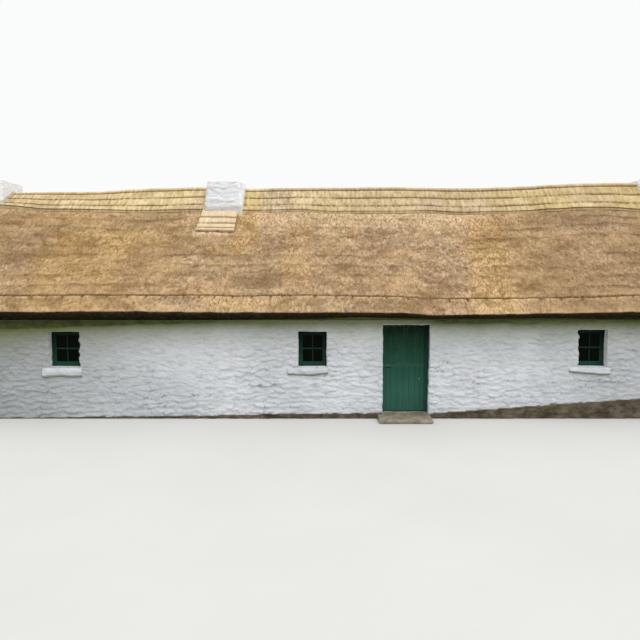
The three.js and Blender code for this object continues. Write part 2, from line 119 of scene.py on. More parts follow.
# Along the front: the foot of the limewash, the coat's lip above the frame's, the green of the underside
LIME_FOOT = (
    (-8.9, 0.02), (-6, 0.03), (-3, 0.07), (-0.6, 0.115), (2.2, 0.12), (4.5, 0.29), (6.6, 0.44), (8.9, 0.58),
)
LIP_RAISE = (
    (-7.2, 0.03), (-6, 0.02), (-4.4, 0.01), (-2.8, 0), (-0.2, 0), (0.8, 0.02), (2.5, 0.02), (3.7, 0.036),
    (5, 0.022),
)
GREEN_REACH = (
    (-2.8, 0), (-1.5, 0.1), (-0.2, 0.16), (0.6, 0.33), (1.5, 0.22), (2.3, 0.18), (3.6, 0.2), (4.8, 0.22),
    (5.9, 0.13),
)

# How green and how dark with painted eaves shade the wall is: by the drop from the thatch, by x, and how far
# down it reaches by x
ALGAE_AND_SHADE_FADE = (
    (0.017, 0.98), (0.05, 0.97), (0.081, 0.92), (0.1445, 0.745), (0.208, 0.59), (0.272, 0.48),
    (0.357, 0.37), (0.442, 0.28), (0.527, 0.21), (0.7, 0.11), (0.87, 0.04), (1.05, 0),
)
ALGAE_AND_SHADE_ALONG = ((-7, 1.3), (-4, 1.05), (-1, 0.93), (1.2, 0.87), (2, 0.95), (2.8, 1.06), (4.2, 0.98))
ALGAE_AND_SHADE_REACH = ((-7, 1.4), (-5, 1.15), (-3.5, 1))

# Openings with a jagged or slanting side, by the run along the front in whole metres
JAGGED = {3: ("wavy", "jagged"), 14: ("jagged", "wavy"), 10: ("wavy", "slant")}

# The lower edge of each sill, as heights at its left end, middle and right end
SILL_FOOT = {
    1: (-0.034, -0.016, -0.034), 2: (-0.004, -0.022, 0.018), 3: (0.024, -0.016, -0.034),
    4: (-0.02, 0, -0.02), 5: (0.02, -0.02, 0),
}

# Patches of newer golden straw and of weathered grey straw: middle x and height, half sizes, strength
GOLD_PATCHES = (
    (3.6, 3.4, 0.42, 1.55, 0.95), (-5.7, 3.4, 1, 0.75, 0.5), (-2, 4.1, 0.3, 0.5, 0.8),
    (-5, 3.9, 0.6, 0.4, 0.4), (-0.75, 4, 0.25, 0.6, 0.8), (2.9, 2.55, 0.55, 0.2, 0.5),
    (-5.4, 2.45, 0.45, 0.12, 1), (-3.1, 2.8, 0.5, 0.25, 0.5), (-1.9, 4.35, 0.35, 0.3, 0.4),
    (-2.4, 3.7, 0.5, 0.22, 0.6), (-0.75, 3.1, 0.35, 0.25, 0.7), (-1.6, 2.5, 0.9, 0.15, 0.5),
)
GREY_PATCHES = (
    (-1.1, 3.75, 0.45, 0.25, 0.9), (-1.2, 4.3, 0.5, 0.3, 0.5), (0.6, 3.4, 1.4, 0.9, 0.25),
    (2.55, 3.3, 0.45, 0.8, 1), (-7.2, 3.4, 0.8, 0.9, 0.5), (-6.9, 4.1, 0.5, 0.4, 0.5),
    (6.4, 3.8, 1.2, 0.9, 0.2), (-1.6, 2.95, 0.5, 0.4, 0.6), (-3.3, 2.5, 0.5, 0.2, 0.7),
    (-2.9, 3.2, 0.5, 0.5, 0.5), (2.4, 2.6, 0.35, 0.3, 0.5), (0.3, 2.45, 1.1, 0.1, 0.4),
)

# Tones of the coat along the roof: x, then the shares of gold, grey and brown
TONE_LINE = (
    (-8.9, 0.2, 0.15, 0.36), (-7.2, 0.25, 0.15, 0.3), (-6, 0.46, 0, 0.38), (-4.2, 0.32, 0.1, 0.3),
    (-2.8, 0.12, 0.36, 0.2), (-1.4, 0.12, 0.32, 0.18), (0.2, 0, 0.52, 0.08), (1.4, 0, 0.6, 0.08),
    (2.7, 0, 0.66, 0.02), (3.3, 0.25, 0.15, 0), (4.1, 0.2, 0.2, 0.2), (5, 0, 0.5, 0.66), (8.9, 0, 0.5, 0.66),
)

# Tones along the ridge cap: middle x, half length, gold and grey; x and brown; x and the strength of the
# painted shade at its foot
CAP_TONES = (
    (-1.95, 0.22, 0.6, 0), (-1.3, 0.36, 0, 1), (-0.2, 0.7, 0.15, 0.1), (1.4, 0.5, 0.05, 0.3),
    (3, 0.9, 0, 0.55), (5.2, 0.8, 0.2, 0), (7.6, 0.9, 0.3, 0), (-6.3, 0.8, 0.1, 0.2), (-4.4, 0.9, 0.25, 0),
)
CAP_BROWN = ((-8.9, 0.25), (-4.5, 0.02), (-2.2, 0.14), (0, 0.22), (3.5, 0.55), (4.8, 0.32), (6.5, 0.42))
CAP_FOOT_DARK = (
    (-8.9, 1), (-6.6, 1), (-5.6, 0.75), (-4.2, 0.5), (-2.2, 0.55), (-0.7, 0.45), (-0.2, 0.2), (0.7, 0.5),
    (1.7, 0.25), (2.7, 0.6), (4.6, 0.5), (5.2, 0.95), (8.9, 1),
)

# The camera that fits the photo
CAMERA = (-0.125, -16.4, 3.08)
CAMERA_PITCH = 4.02
CAMERA_SHIFT = -5 / 640


def smooth(t):
    """The smooth step 3t^2 - 2t^3 of t held between 0 and 1."""
    t = np.clip(t, 0, 1)
    return t * t * (3 - 2 * t)


def bump(t, width):
    """A bell curve, 1 at t = 0, that falls off over the width."""
    return np.exp(-((t / width) ** 2))


def straight(points, x):
    """The value at x of a line of points, straight from each point to the next."""
    return np.interp(x, *np.array(points).T)


def eased(points, x):
    """The height of a surveyed line at x: a smooth step from each point to the next."""
    px, pz = np.array(points).T
    x = np.clip(x, px[0], px[-1])
    k = np.clip(np.searchsorted(px, x) - 1, 0, len(px) - 2)
    return pz[k] + (pz[k + 1] - pz[k]) * smooth((x - px[k]) / (px[k + 1] - px[k]))


def chance(i, j, seed):
    """A repeatable number from 0 to 1 for each pair of whole numbers: the fraction of a large sine."""
    return np.modf(np.abs(np.sin(i * 127.1 + j * 311.7 + seed * 74.7)) * 43758.5453)[0]


def ripple(u, v, seed):
    """Noise from -1 to 1: random heights at whole numbers, joined by smooth steps both ways."""
    i, j = np.floor(u), np.floor(v)
    a, b = smooth(u - i), smooth(v - j)
    low = chance(i, j, seed) * (1 - a) + chance(i + 1, j, seed) * a
    high = chance(i, j + 1, seed) * (1 - a) + chance(i + 1, j + 1, seed) * a
    return 2 * (low * (1 - b) + high * b) - 1


def layers(u, v, seed, count=4):
    """Ripples added up, each twice as fine and half as high as the one before, from about -1 to 1."""
    return sum(ripple(u * 2**k, v * 2**k, seed + 13 * k) / 2**k for k in range(count)) / 1.6


def stones(u, v, seed):
    """Rubble cells: one jittered centre in each unit square owns what lies nearest to it.

    Returns the distance to the joint (second nearest less nearest), the height above the
    owner's centre, and a random number for each owner.
    """
    first = np.full(np.shape(u), 9.0)
    second, rise, mark = first.copy(), first * 0, first * 0
    for di in (-1, 0, 1):
        for dj in (-1, 0, 1):
            i, j = np.floor(u) + di, np.floor(v) + dj
            du = u - i - 0.5 - 0.9 * (chance(i, j, seed) - 0.5)
            dv = v - j - 0.5 - 0.8 * (chance(i, j, seed + 1) - 0.5)
            far = (np.abs(du) ** 2.4 + np.abs(dv) ** 2.4) ** (1 / 2.4)
            nearer = far < first
            second = np.where(nearer, first, np.minimum(second, far))
            rise = np.where(nearer, dv, rise)
            mark = np.where(nearer, chance(i, j, seed + 2), mark)
            first = np.where(nearer, far, first)
    return second - first, rise, mark


def stops(low, high, step, through=()):
    """Numbers from low to high about a step apart that pass through the given ones."""
    marks = [low, *sorted(t for t in through if low < t < high), high]
    pairs = zip(marks, marks[1:])
    runs = [np.linspace(a, b, max(1, round((b - a) / step)), endpoint=False) for a, b in pairs]
    return np.concatenate([*runs, [high]])


def folded(fold, count):
    """A fold at both ends of a row: its values, nothing for a count of steps, and its values reversed."""
    return np.concatenate([fold, np.zeros(count), fold[::-1]])


def grid(x, y, z):
    """One array of points from coordinates that are spread over the same rows and columns."""
    return np.stack(np.broadcast_arrays(x, y, z), -1)


def joined(*blocks):
    """Blocks of rows one after another, each spread over the columns of the widest."""
    columns = max(block.shape[1] for block in blocks)
    return np.concatenate([np.broadcast_to(block, (len(block), columns)) for block in blocks])


def roof_top(x, out):
    """The top of the thatch at x, a distance out from the ridge: straight between the surveyed lines."""
    base = CROWN + (LIP_TOP - CROWN) * out / LIP_Y
    foot_base = CROWN + (LIP_TOP - CROWN) * CAP_RUN / LIP_Y + CAP_EDGE
    ridge = eased(RIDGE_LINE, x) - CROWN - CAP
    foot = eased(CAP_FOOT_LINE, x) - foot_base
    eaves = eased(EAVES_LINE, x) - LIP_LOW
    upper = ridge + (foot - ridge) * out / CAP_RUN
    lower = foot + (eaves - foot) * (out - CAP_RUN) / (LIP_Y - CAP_RUN)
    return base + np.where(out < CAP_RUN, upper, lower)


def roof_underside(y):
    """The height of the underside of the thatch at y."""
    return WALL_TOP + ROOF_SLOPE * (HALF_Y - np.abs(y))


class Sheet:
    """A grid of points, rows by columns by 3, with the faces kept and values given to its points."""

    def __init__(self, points, keep=None, ring=False, flip=False, **values):
        self.points, self.keep, self.ring, self.flip, self.values = points, keep, ring, flip, values

    def quads(self, start):
        """The corner numbers of each face: a point, the next in its row, and those two one row on."""
        rows, columns = self.points.shape[:2]
        n = start + np.arange(rows * columns).reshape(rows, columns)
        if self.ring:
            n = np.concatenate([n, n[:, :1]], 1)
        q = np.stack([n[:-1, :-1], n[:-1, 1:], n[1:, 1:], n[1:, :-1]], -1)
        if self.flip:
            q = q[..., ::-1]
        return q[self.keep] if self.keep is not None else q.reshape(-1, 4)


def placed(name, data):
    """A new object at the origin for a mesh, a light or a lens."""
    made = bpy.data.objects.new(name, data)
    bpy.context.scene.collection.objects.link(made)
    return made


def piece(name, sheets, material, body="house", stands_for=(), merge=True, crisp=None):
    """One mesh from several sheets, riding on a body of the frame."""
    start, points, faces = 0, [], []
    for s in sheets:
        points.append(s.points.reshape(-1, 3))
        faces.append(s.quads(start))
        start += len(points[-1])
    points, faces = np.concatenate(points), np.concatenate(faces)
    mesh = bpy.data.meshes.new(name)
    mesh.vertices.add(len(points))
    mesh.vertices.foreach_set("co", points.astype(np.float32).ravel())
    mesh.loops.add(faces.size)
    mesh.loops.foreach_set("vertex_index", faces.astype(np.int32).ravel())
    mesh.polygons.add(len(faces))
    mesh.polygons.foreach_set("loop_start", np.arange(0, faces.size, 4, dtype=np.int32))
    mesh.update(calc_edges=True)
    for key in sorted({k for s in sheets for k in s.values}):
        values = [np.broadcast_to(s.values.get(key, 0.0), s.points.shape[:2]).ravel() for s in sheets]
        layer = mesh.attributes.new(key, "FLOAT", "POINT")
        layer.data.foreach_set("value", np.concatenate(values).astype(np.float32))
    if merge:
        bm = bmesh.new()
        bm.from_mesh(mesh)
        bmesh.ops.remove_doubles(bm, verts=bm.verts, dist=2e-5)
        bmesh.ops.dissolve_degenerate(bm, edges=bm.edges, dist=1e-6)
        bmesh.ops.delete(bm, geom=[v for v in bm.verts if not v.link_faces], context="VERTS")
        bm.to_mesh(mesh)
        bm.free()
    mesh.polygons.foreach_set("use_smooth", np.ones(len(mesh.polygons), bool))
    if crisp:
        mesh.set_sharp_from_angle(angle=math.radians(crisp))
    mesh.materials.append(material)
    made = placed(name, mesh)
    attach(made, body)
    if stands_for:
        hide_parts(*stands_for)


def linear(colour):
    """A colour given as 0 to 255, as the linear values that a shader takes; a socket stays itself."""
    if not isinstance(colour, tuple):
        return colour
    c = np.array(colour) / 255
    return (*np.where(c <= 0.04045, c / 12.92, ((c + 0.055) / 1.055) ** 2.4), 1.0)


class Finish:
    """A procedural material, built from a few kinds of node."""

    def __init__(self, name, roughness=0.8, specular=0.3):
        self.material = bpy.data.materials.new(name)
        self.material.use_nodes = True
        self.tree = self.material.node_tree
        self.shader = self.tree.nodes["Principled BSDF"]
        self.shader.inputs["Roughness"].default_value = roughness
        self.shader.inputs["Specular IOR Level"].default_value = specular
        self.place = self.add("TexCoord").outputs["Object"]

    def add(self, kind, inputs=(), **settings):
        node = self.tree.nodes.new("ShaderNode" + kind)
        for key, value in settings.items():
            setattr(node, key, value)
        for key, value in dict(inputs).items():
            self.put(node.inputs[key], value)
        return node

    def put(self, socket, value):
        if isinstance(value, bpy.types.NodeSocket):
            self.tree.links.new(value, socket)
        else:
            socket.default_value = value

    def stretched(self, *scale):
        """The place on the piece, stretched along its axes, for patterns with a grain."""
        return self.add("Mapping", {"Vector": self.place, "Scale": scale}, vector_type="TEXTURE").outputs[0]

    def noise(self, scale, detail=4.0, rough=0.55, place=None, bend=0.0):
        inputs = {
            "Vector": place or self.place, "Scale": scale, "Detail": detail,
            "Roughness": rough, "Distortion": bend,
        }
        return self.add("TexNoise", inputs).outputs["Fac"]

    def cracks(self, scale):
        """The distance to the edge between cells."""
        inputs = {"Vector": self.place, "Scale": scale}
        return self.add("TexVoronoi", inputs, feature="DISTANCE_TO_EDGE").outputs["Distance"]

    def value(self, key):
        return self.add("Attribute", attribute_name=key).outputs["Fac"]

    def along(self, axis):
        return self.add("SeparateXYZ", {0: self.place}).outputs[axis]

    def range(self, value, low, high, out_low=0.0, out_high=1.0, kind="SMOOTHSTEP"):
        inputs = {0: value, 1: low, 2: high, 3: out_low, 4: out_high}
        return self.add("MapRange", inputs, interpolation_type=kind).outputs[0]

    def times(self, a, b):
        return self.add("Math", {0: a, 1: b}, operation="MULTIPLY").outputs[0]

    def mix(self, share, a, b, kind="MIX"):
        inputs = {0: share, 6: linear(a), 7: linear(b)}
        return self.add("Mix", inputs, data_type="RGBA", blend_type=kind).outputs[2]

    def over(self, colour, tint, share, low=None, high=None, much=None):
        """The tint over the colour where the share, or the value of that name, runs from low to high."""
        share = self.value(share) if isinstance(share, str) else share
        share = share if low is None else self.range(share, low, high)
        return self.mix(share if much is None else self.times(share, much), colour, tint)

    def finish(self, colour, bumps=(), rough=None):
        """Joins the colour and the chain of bumps, each a height, its strength and its depth."""
        self.put(self.shader.inputs["Base Color"], colour)
        below = {}
        for height, strength, depth in bumps:
            inputs = {"Height": height, "Strength": strength, "Distance": depth, **below}
            below = {"Normal": self.add("Bump", inputs).outputs[0]}
        for normal in below.values():
            self.put(self.shader.inputs["Normal"], normal)
        if rough is not None:
            self.put(self.shader.inputs["Roughness"], rough)
        return self.material


def limewash():
    """Limewash over rubble: cool white with fine grime, painted shade in the joints under ledges and towards
    the ends, green growth and painted shade under the eaves, painted light in reveals and stacks, bare stone
    at the foot.
    """
    f = Finish("limewash", 0.94, 0.1)
    white = f.over((200, 204, 208), (216, 219, 223), f.noise(1.1, 5, 0.6), 0.35, 0.68)
    white = f.over(white, (202, 196, 208), f.noise(1.7, 4, 0.6), 0.56, 0.72, 0.3)
    white = f.over(white, (164, 168, 171), f.noise(9, 6, 0.72, f.stretched(2, 2, 1)), 0.48, 0.72, 0.5)
    # Painted light: reveals and the stacks' faces towards +x made whiter as if lit; the stacks are whiter
    # limewash all round as well
    white = f.over(white, (242, 243, 246), "fresh")
    # Painted shade: grey in the open joints under the stones' lower edges, where the ledges shade them
    white = f.over(white, (104, 107, 108), "joint", much=0.72)
    white = f.over(white, (126, 126, 116), f.noise(45, 3, 0.6), 0.66, 0.76, 0.25)
    # Painted shade: the wall darker towards both ends
    white = f.over(white, (134, 138, 139), "damp")
    # Green growth with painted shade: the wall greener and darker under the eaves, fading downward
    green = f.over((46, 52, 20), (78, 85, 44), f.noise(4, 5, 0.7), 0.3, 0.7)
    green = f.over((90, 97, 36), green, "algae", 0.9, 1)
    white = f.over(white, green, "algae")
    white = f.over(white, (190, 184, 181), "mortar")
    stone = f.over((70, 62, 50), (112, 102, 88), f.noise(4, 5, 0.65), 0.3, 0.7)
    stone = f.over(stone, (62, 68, 36), f.noise(7, 5, 0.7), 0.46, 0.64, 0.7)
    # Painted shade near black at the head of the wall's left part and on the doorway's right reveal; flues
    # blackened by smoke
    colour = f.over(f.over(white, stone, "bare"), (24, 22, 20), "soot")
    ledges, grit = f.noise(11, 5, 0.62, f.stretched(1.9, 1.9, 1)), f.noise(70, 4, 0.6)
    return f.finish(colour, [(ledges, 1, 0.06), (grit, 0.3, 0.006)])


def straw(name, dark, pale, gold, grey, line, size=1, drawn=1.25, drifts=1.25):
    """Weathered straw: pale and dark stalk ends drawn out down the slope, over drifts of gold and grey."""
    f = Finish(name, 0.95, 0.08)
    stalks = f.noise(14 * size, 3, 0.58, f.stretched(1, drawn, drawn))
    fine = f.noise(42 * size, 2, 0.6, f.stretched(1, 1.3 * drawn, 1.3 * drawn))
    blotch = f.noise(6, 3, 0.6, f.stretched(1.6, 1, 1))
    drift = f.noise(1.9, 4, 0.6, f.stretched(1.6, 1, 1))
    base = f.mix(f.range(stalks, 0.26, 0.74, kind="LINEAR"), dark, pale)
    base = f.over(base, f.over(dark, gold, stalks, 0.12, 0.64), "gold", much=0.8)
    base = f.over(base, f.over(dark, grey, stalks, 0.34, 0.66), "grey", much=0.62)
    for pattern, much in ((fine, 0.08), (blotch, 0.4 * drifts), (drift, 0.5 * drifts)):
        base = f.over(base, pale, pattern, 0.48, 0.66, much)
        base = f.over(base, dark, pattern, 0.52, 0.36, much)
    # An olive and a pink drift
    for tint, scale, low, much in (((158, 142, 84), 3.3, 0.5, 0.3), ((208, 166, 142), 4.7, 0.52, 0.34)):
        pattern = f.noise(scale, 4, 0.65, f.stretched(1, 1.5, 1.5))
        base = f.over(base, tint, pattern, low, low + 0.16, much * drifts)
    base = f.over(base, dark, "brown", much=0.6)
    # Paler straw: really bleached in places; on the coat also painted highlight where course ends, pads and
    # the lip catch the light
    base = f.over(base, f.over(pale, (236, 212, 176), stalks, 0.3, 0.6), "pale", much=0.8)
    # Painted shade: lines under the courses, stitched lines and ties, the folds of the caps and the cut ends
    base = f.over(base, line, "shade")
    # Painted shade: the cut face under the eaves nearly black, and the underside inside the walls darker
    base = f.over(base, f.over((20, 18, 6), (44, 36, 18), stalks, 0.4, 0.7), "deep")
    base = f.over(base, (80, 86, 46), "moss")
    return f.finish(base, [(stalks, 0.32, 0.02), (fine, 0.2, 0.006)])


def green_paint(name="green_paint", shaded_from=9.0):
    """Brushed dark green paint, darkened upward by painted shade and grime to nearly black under the lintels,
    duller low down, grimed in its grain.
    """
    f = Finish(name, 0.66, 0.08)
    grain, height = f.noise(16, 6, 0.65, f.stretched(1, 1, 9)), f.along(2)
    # Painted shade with some grime: darker towards the top, nearly black at the lintels
    colour = f.over((3, 12, 2), (18, 46, 29), height, 1.98, 1.66)
    colour = f.over(colour, (34, 75, 60), height, 1.75, 1.12)
    colour = f.over(colour, (50, 94, 82), height, 1.25, 0.45)
    colour = f.over(colour, (34, 80, 62), grain, 0.35, 0.68, 0.35)
    dust = f.times(f.range(f.noise(5, 6, 0.7), 0.45, 0.75), f.range(height, 1.95, 1.4))
    colour = f.over(colour, (66, 92, 80), dust, much=0.22)
    # Painted shade: heads of window frames, the bars, door boards upward and at the right edge, under the
    # strap
    colour = f.over(colour, (8, 18, 12), "gloom")
    colour = f.over(colour, (8, 18, 12), "groove")
    colour = f.over(colour, (84, 116, 102), "edge", much=0.5)
    colour = f.over(colour, (6, 14, 9), f.along(0), shaded_from, shaded_from + 0.02, 0.4)
    return f.finish(colour, [(grain, 0.3, 0.003)], f.range(grain, 0.2, 0.8, 0.5, 0.75))


def glass():
    """Old window glass, nearly black from outside with the painted shade of the dark room behind it, and a
    faint ripple.
    """
    f = Finish("window_glass", 0.1, 0.02)
    return f.finish(f.over((4, 9, 4), (10, 13, 7), f.noise(3, 2)), [(f.noise(5, 1), 0.12, 0.01)])


def worn_stone():
    """Worn stone with grain, stains and fine pits."""
    f = Finish("step_stone", 0.88, 0.2)
    colour = f.over((112, 107, 92), (160, 154, 138), f.noise(5, 6, 0.65), 0.3, 0.7)
    colour = f.over(colour, (112, 107, 92), f.noise(40, 4), 0.55, 0.7, 0.4)
    return f.finish(colour, [(f.noise(22, 8, 0.7), 0.5, 0.01), (f.noise(130, 3), 0.25, 0.002)])


def flags():
    """Floor flags of worn stone, with dark joints between cells."""
    f = Finish("floor_flags", 0.85, 0.2)
    joint = f.range(f.cracks(1.6), 0, 0.02)
    colour = f.over((84, 78, 68), (134, 126, 112), f.noise(3, 6, 0.65), 0.3, 0.7)
    colour = f.over((48, 42, 34), colour, joint)
    return f.finish(colour, [(joint, 0.6, 0.01), (f.noise(22, 8, 0.7), 0.4, 0.006)])


def timber():
    """Smoke-dark roof timber with a long grain."""
    f = Finish("timber", 0.8, 0.2)
    grain = f.noise(14, 7, 0.6, f.stretched(6, 1, 1), bend=0.4)
    return f.finish(f.over((52, 38, 26), (104, 80, 56), grain, 0.3, 0.7), [(grain, 0.4, 0.004)])


def iron():
    """Iron under the door's paint, worn pale in patches."""
    f = Finish("painted_iron", 0.5, 0.3)
    colour = f.over((78, 108, 94), (126, 148, 134), f.noise(50, 5), 0.4, 0.7)
    return f.finish(colour, [(f.noise(90, 3), 0.3, 0.001)])


def stalk():
    """Single stalks, each with its own tone from brown to pale."""
    f = Finish("stalks", 0.9, 0.1)
    colour = f.over((142, 112, 76), (168, 138, 98), "tone", 0, 0.55)
    colour = f.over(colour, (190, 162, 122), "tone", 0.5, 1)
    colour = f.mix(f.times(f.value("gold"), 0.6), colour, (190, 150, 70), "SOFT_LIGHT")
    return f.finish(f.over(colour, (120, 96, 62), f.noise(70, 3), much=0.3))


LIME = limewash()
THATCH = straw("thatch_straw", (116, 88, 56), (213, 181, 138), (230, 198, 132), (207, 189, 175), (92, 62, 32))
CAP_STRAW = straw(
    "ridge_straw", (158, 134, 92), (230, 212, 172), (228, 206, 138), (217, 203, 190), (92, 60, 26),
    size=1.1, drawn=4, drifts=0.5,
)
PAINT = green_paint()
FRAME_PAINT = green_paint("door_frame_paint", 2.03)
GLASS = glass()
STEP_STONE = worn_stone()
FLAGS = flags()
TIMBER = timber()
IRON = iron()
STALK = stalk()


def box_loop(half_x, half_y, radius, per_side):
    """A rounded rectangle as a closed loop of points with outward normals, each side cut the same.

    Points of the sharp rectangle are drawn onto arcs about the corners of an inner one.
    """
    t, one = np.linspace(-1, 1, per_side, endpoint=False), np.ones(per_side)
    px = np.concatenate([t, one, -t, -one]) * half_x
    py = np.concatenate([-one, t, one, -t]) * half_y
    cx, cy = np.clip(px, radius - half_x, half_x - radius), np.clip(py, radius - half_y, half_y - radius)
    far = np.hypot(px - cx, py - cy)
    nx, ny = (px - cx) / far, (py - cy) / far
    return cx + nx * radius, cy + ny * radius, nx, ny


def house_track():
    """The rounded plan of the walls as a dense track: run, x, y, and the outward normal at each point.

    It starts at the front's left end and goes round anticlockwise, seen from above.
    """
    inner_x, inner_y = HALF_X - CORNER, HALF_Y - CORNER
    x, y, turn = [[-inner_x]], [[-HALF_Y]], [[-math.pi / 2]]
    for corner, (sx, sy) in enumerate(((1, -1), (1, 1), (-1, 1), (-1, -1))):
        angle = (corner - 1) * math.pi / 2 + np.linspace(0, math.pi / 2, 9)
        x.append(sx * inner_x + CORNER * np.cos(angle))
        y.append(sy * inner_y + CORNER * np.sin(angle))
        turn.append(angle)
    x, y, turn = (np.concatenate(line) for line in (x, y, turn))
    run = np.concatenate([[0], np.cumsum(np.hypot(np.diff(x), np.diff(y)))])
    return run, x, y, np.cos(turn), np.sin(turn)


HOUSE = house_track()
FRONT_RUN = 2 * (HALF_X - CORNER)
SIDE_RUN = 2 * (HALF_Y - CORNER)
TURN = math.pi * CORNER / 2
BACK_START = FRONT_RUN + 2 * TURN + SIDE_RUN


def on_track(s):
    """The point and outward normal s metres along the plan of the walls."""
    run, *lines = HOUSE
    x, y, nx, ny = (np.interp(np.mod(s, run[-1]), run, line) for line in lines)
    return x, y, nx / np.hypot(nx, ny), ny / np.hypot(nx, ny)


def rubble(s, z, seed):
    """How far rubble under limewash stands out, and how much painted shade lies in its open joints under the
    ledges.

    Stones and spalls stand out as soft pillows whose lower edges make ledges. Many coats of
    limewash blur them, so only short runs of each joint stay open.
    """
    bend_s = 0.1 * layers(s * 2.1, z * 3.0, seed + 20, 3)
    bend_z = 0.045 * layers(s * 2.6, z * 3.6, seed + 24, 3)
    joint, rise, mark = stones((s + bend_s) / 0.29, (z + bend_z) / 0.115, seed)
    sunk = 1 - smooth(joint / 0.42)
    patch = smooth(0.5 + 0.9 * layers(s * 0.7, z * 1.1, seed + 40, 2))
    show = (0.35 + 0.65 * patch) * (0.5 + 0.5 * smooth((1.7 - z) / 1.2))
    tip = 0.15 + 1.7 * np.modf(mark * 17.3)[0]
    out = show * (0.016 * (mark - 0.5) - 0.03 * tip * rise - 0.014 * sunk)
    small, lean, spall = stones((s - bend_s) / 0.15, (z + bend_z) / 0.07, seed + 7)
    out = out - 0.036 * spall * (0.4 + 0.6 * patch) * lean - 0.005 * (1 - smooth(small / 0.4))
    out = out + 0.0085 * layers(s * 7, z * 11, seed + 60, 3)
    open_run = smooth(0.05 + 1.5 * layers(s * 3.1, z * 4.0, seed + 65, 2))
    # Painted shade in the joint just below each stone's lower edge, only in open runs and fading higher up
    under = (1 - smooth(joint / 0.16)) * smooth((-rise - 0.05) / 0.25) * open_run * smooth((1.75 - z) / 0.7)
    return out + 0.007 * layers(s * 0.8, z * 0.9, seed + 80, 2), np.clip(1.3 * under, 0, 1)


def held_out(out, least, nx, ny):
    """How far a skin stands out, but never less than it needs to, which is most on a corner."""
    return np.maximum(out, least + 0.013 * np.minimum(1, 3 * np.abs(nx * ny)))


def opening_of(node):
    """The edges of an opening and how far its frame stands in from the middle plane of the house."""
    low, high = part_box(node)
    return low.x - EDGE, high.x + EDGE, low.z - EDGE, high.z + EDGE, max(abs(low.y), abs(high.y))


WINDOWS = [opening_of(f"window_frame_{n}") for n in range(1, 6)]
DOORWAY = opening_of("door_frame")


def lime_values(x, z, top, joint, seed):
    """Where the wall is bare stone at its foot, darker with painted shade towards both ends, and green growth
    with painted eaves shade at its head.
    """
    ragged = layers(x * 2.2, z * 2.2, seed + 5, 3)
    notch = layers(x * 11, z * 9, seed + 6, 2)
    foot = straight(LIME_FOOT, x) + 0.012 * ragged + 0.014 * notch
    drop = (top - z + 0.03 * ragged) / straight(ALGAE_AND_SHADE_REACH, x)
    return {
        "joint": joint,
        "bare": 1 - smooth((z - foot + 0.008) / 0.016),
        "algae": np.minimum(straight(ALGAE_AND_SHADE_FADE, drop) * straight(ALGAE_AND_SHADE_ALONG, x), 0.98),
        "damp": np.clip(0.155 * (-2.55 - x), 0, 0.74) + np.clip(0.23 * (x - 4.2), 0, 0.34),
        # Painted shade just under the eaves along the left part
        "soot": 0.4 * smooth((-2.2 - x) / 3.5) * smooth((0.14 - drop) / 0.12),
    }


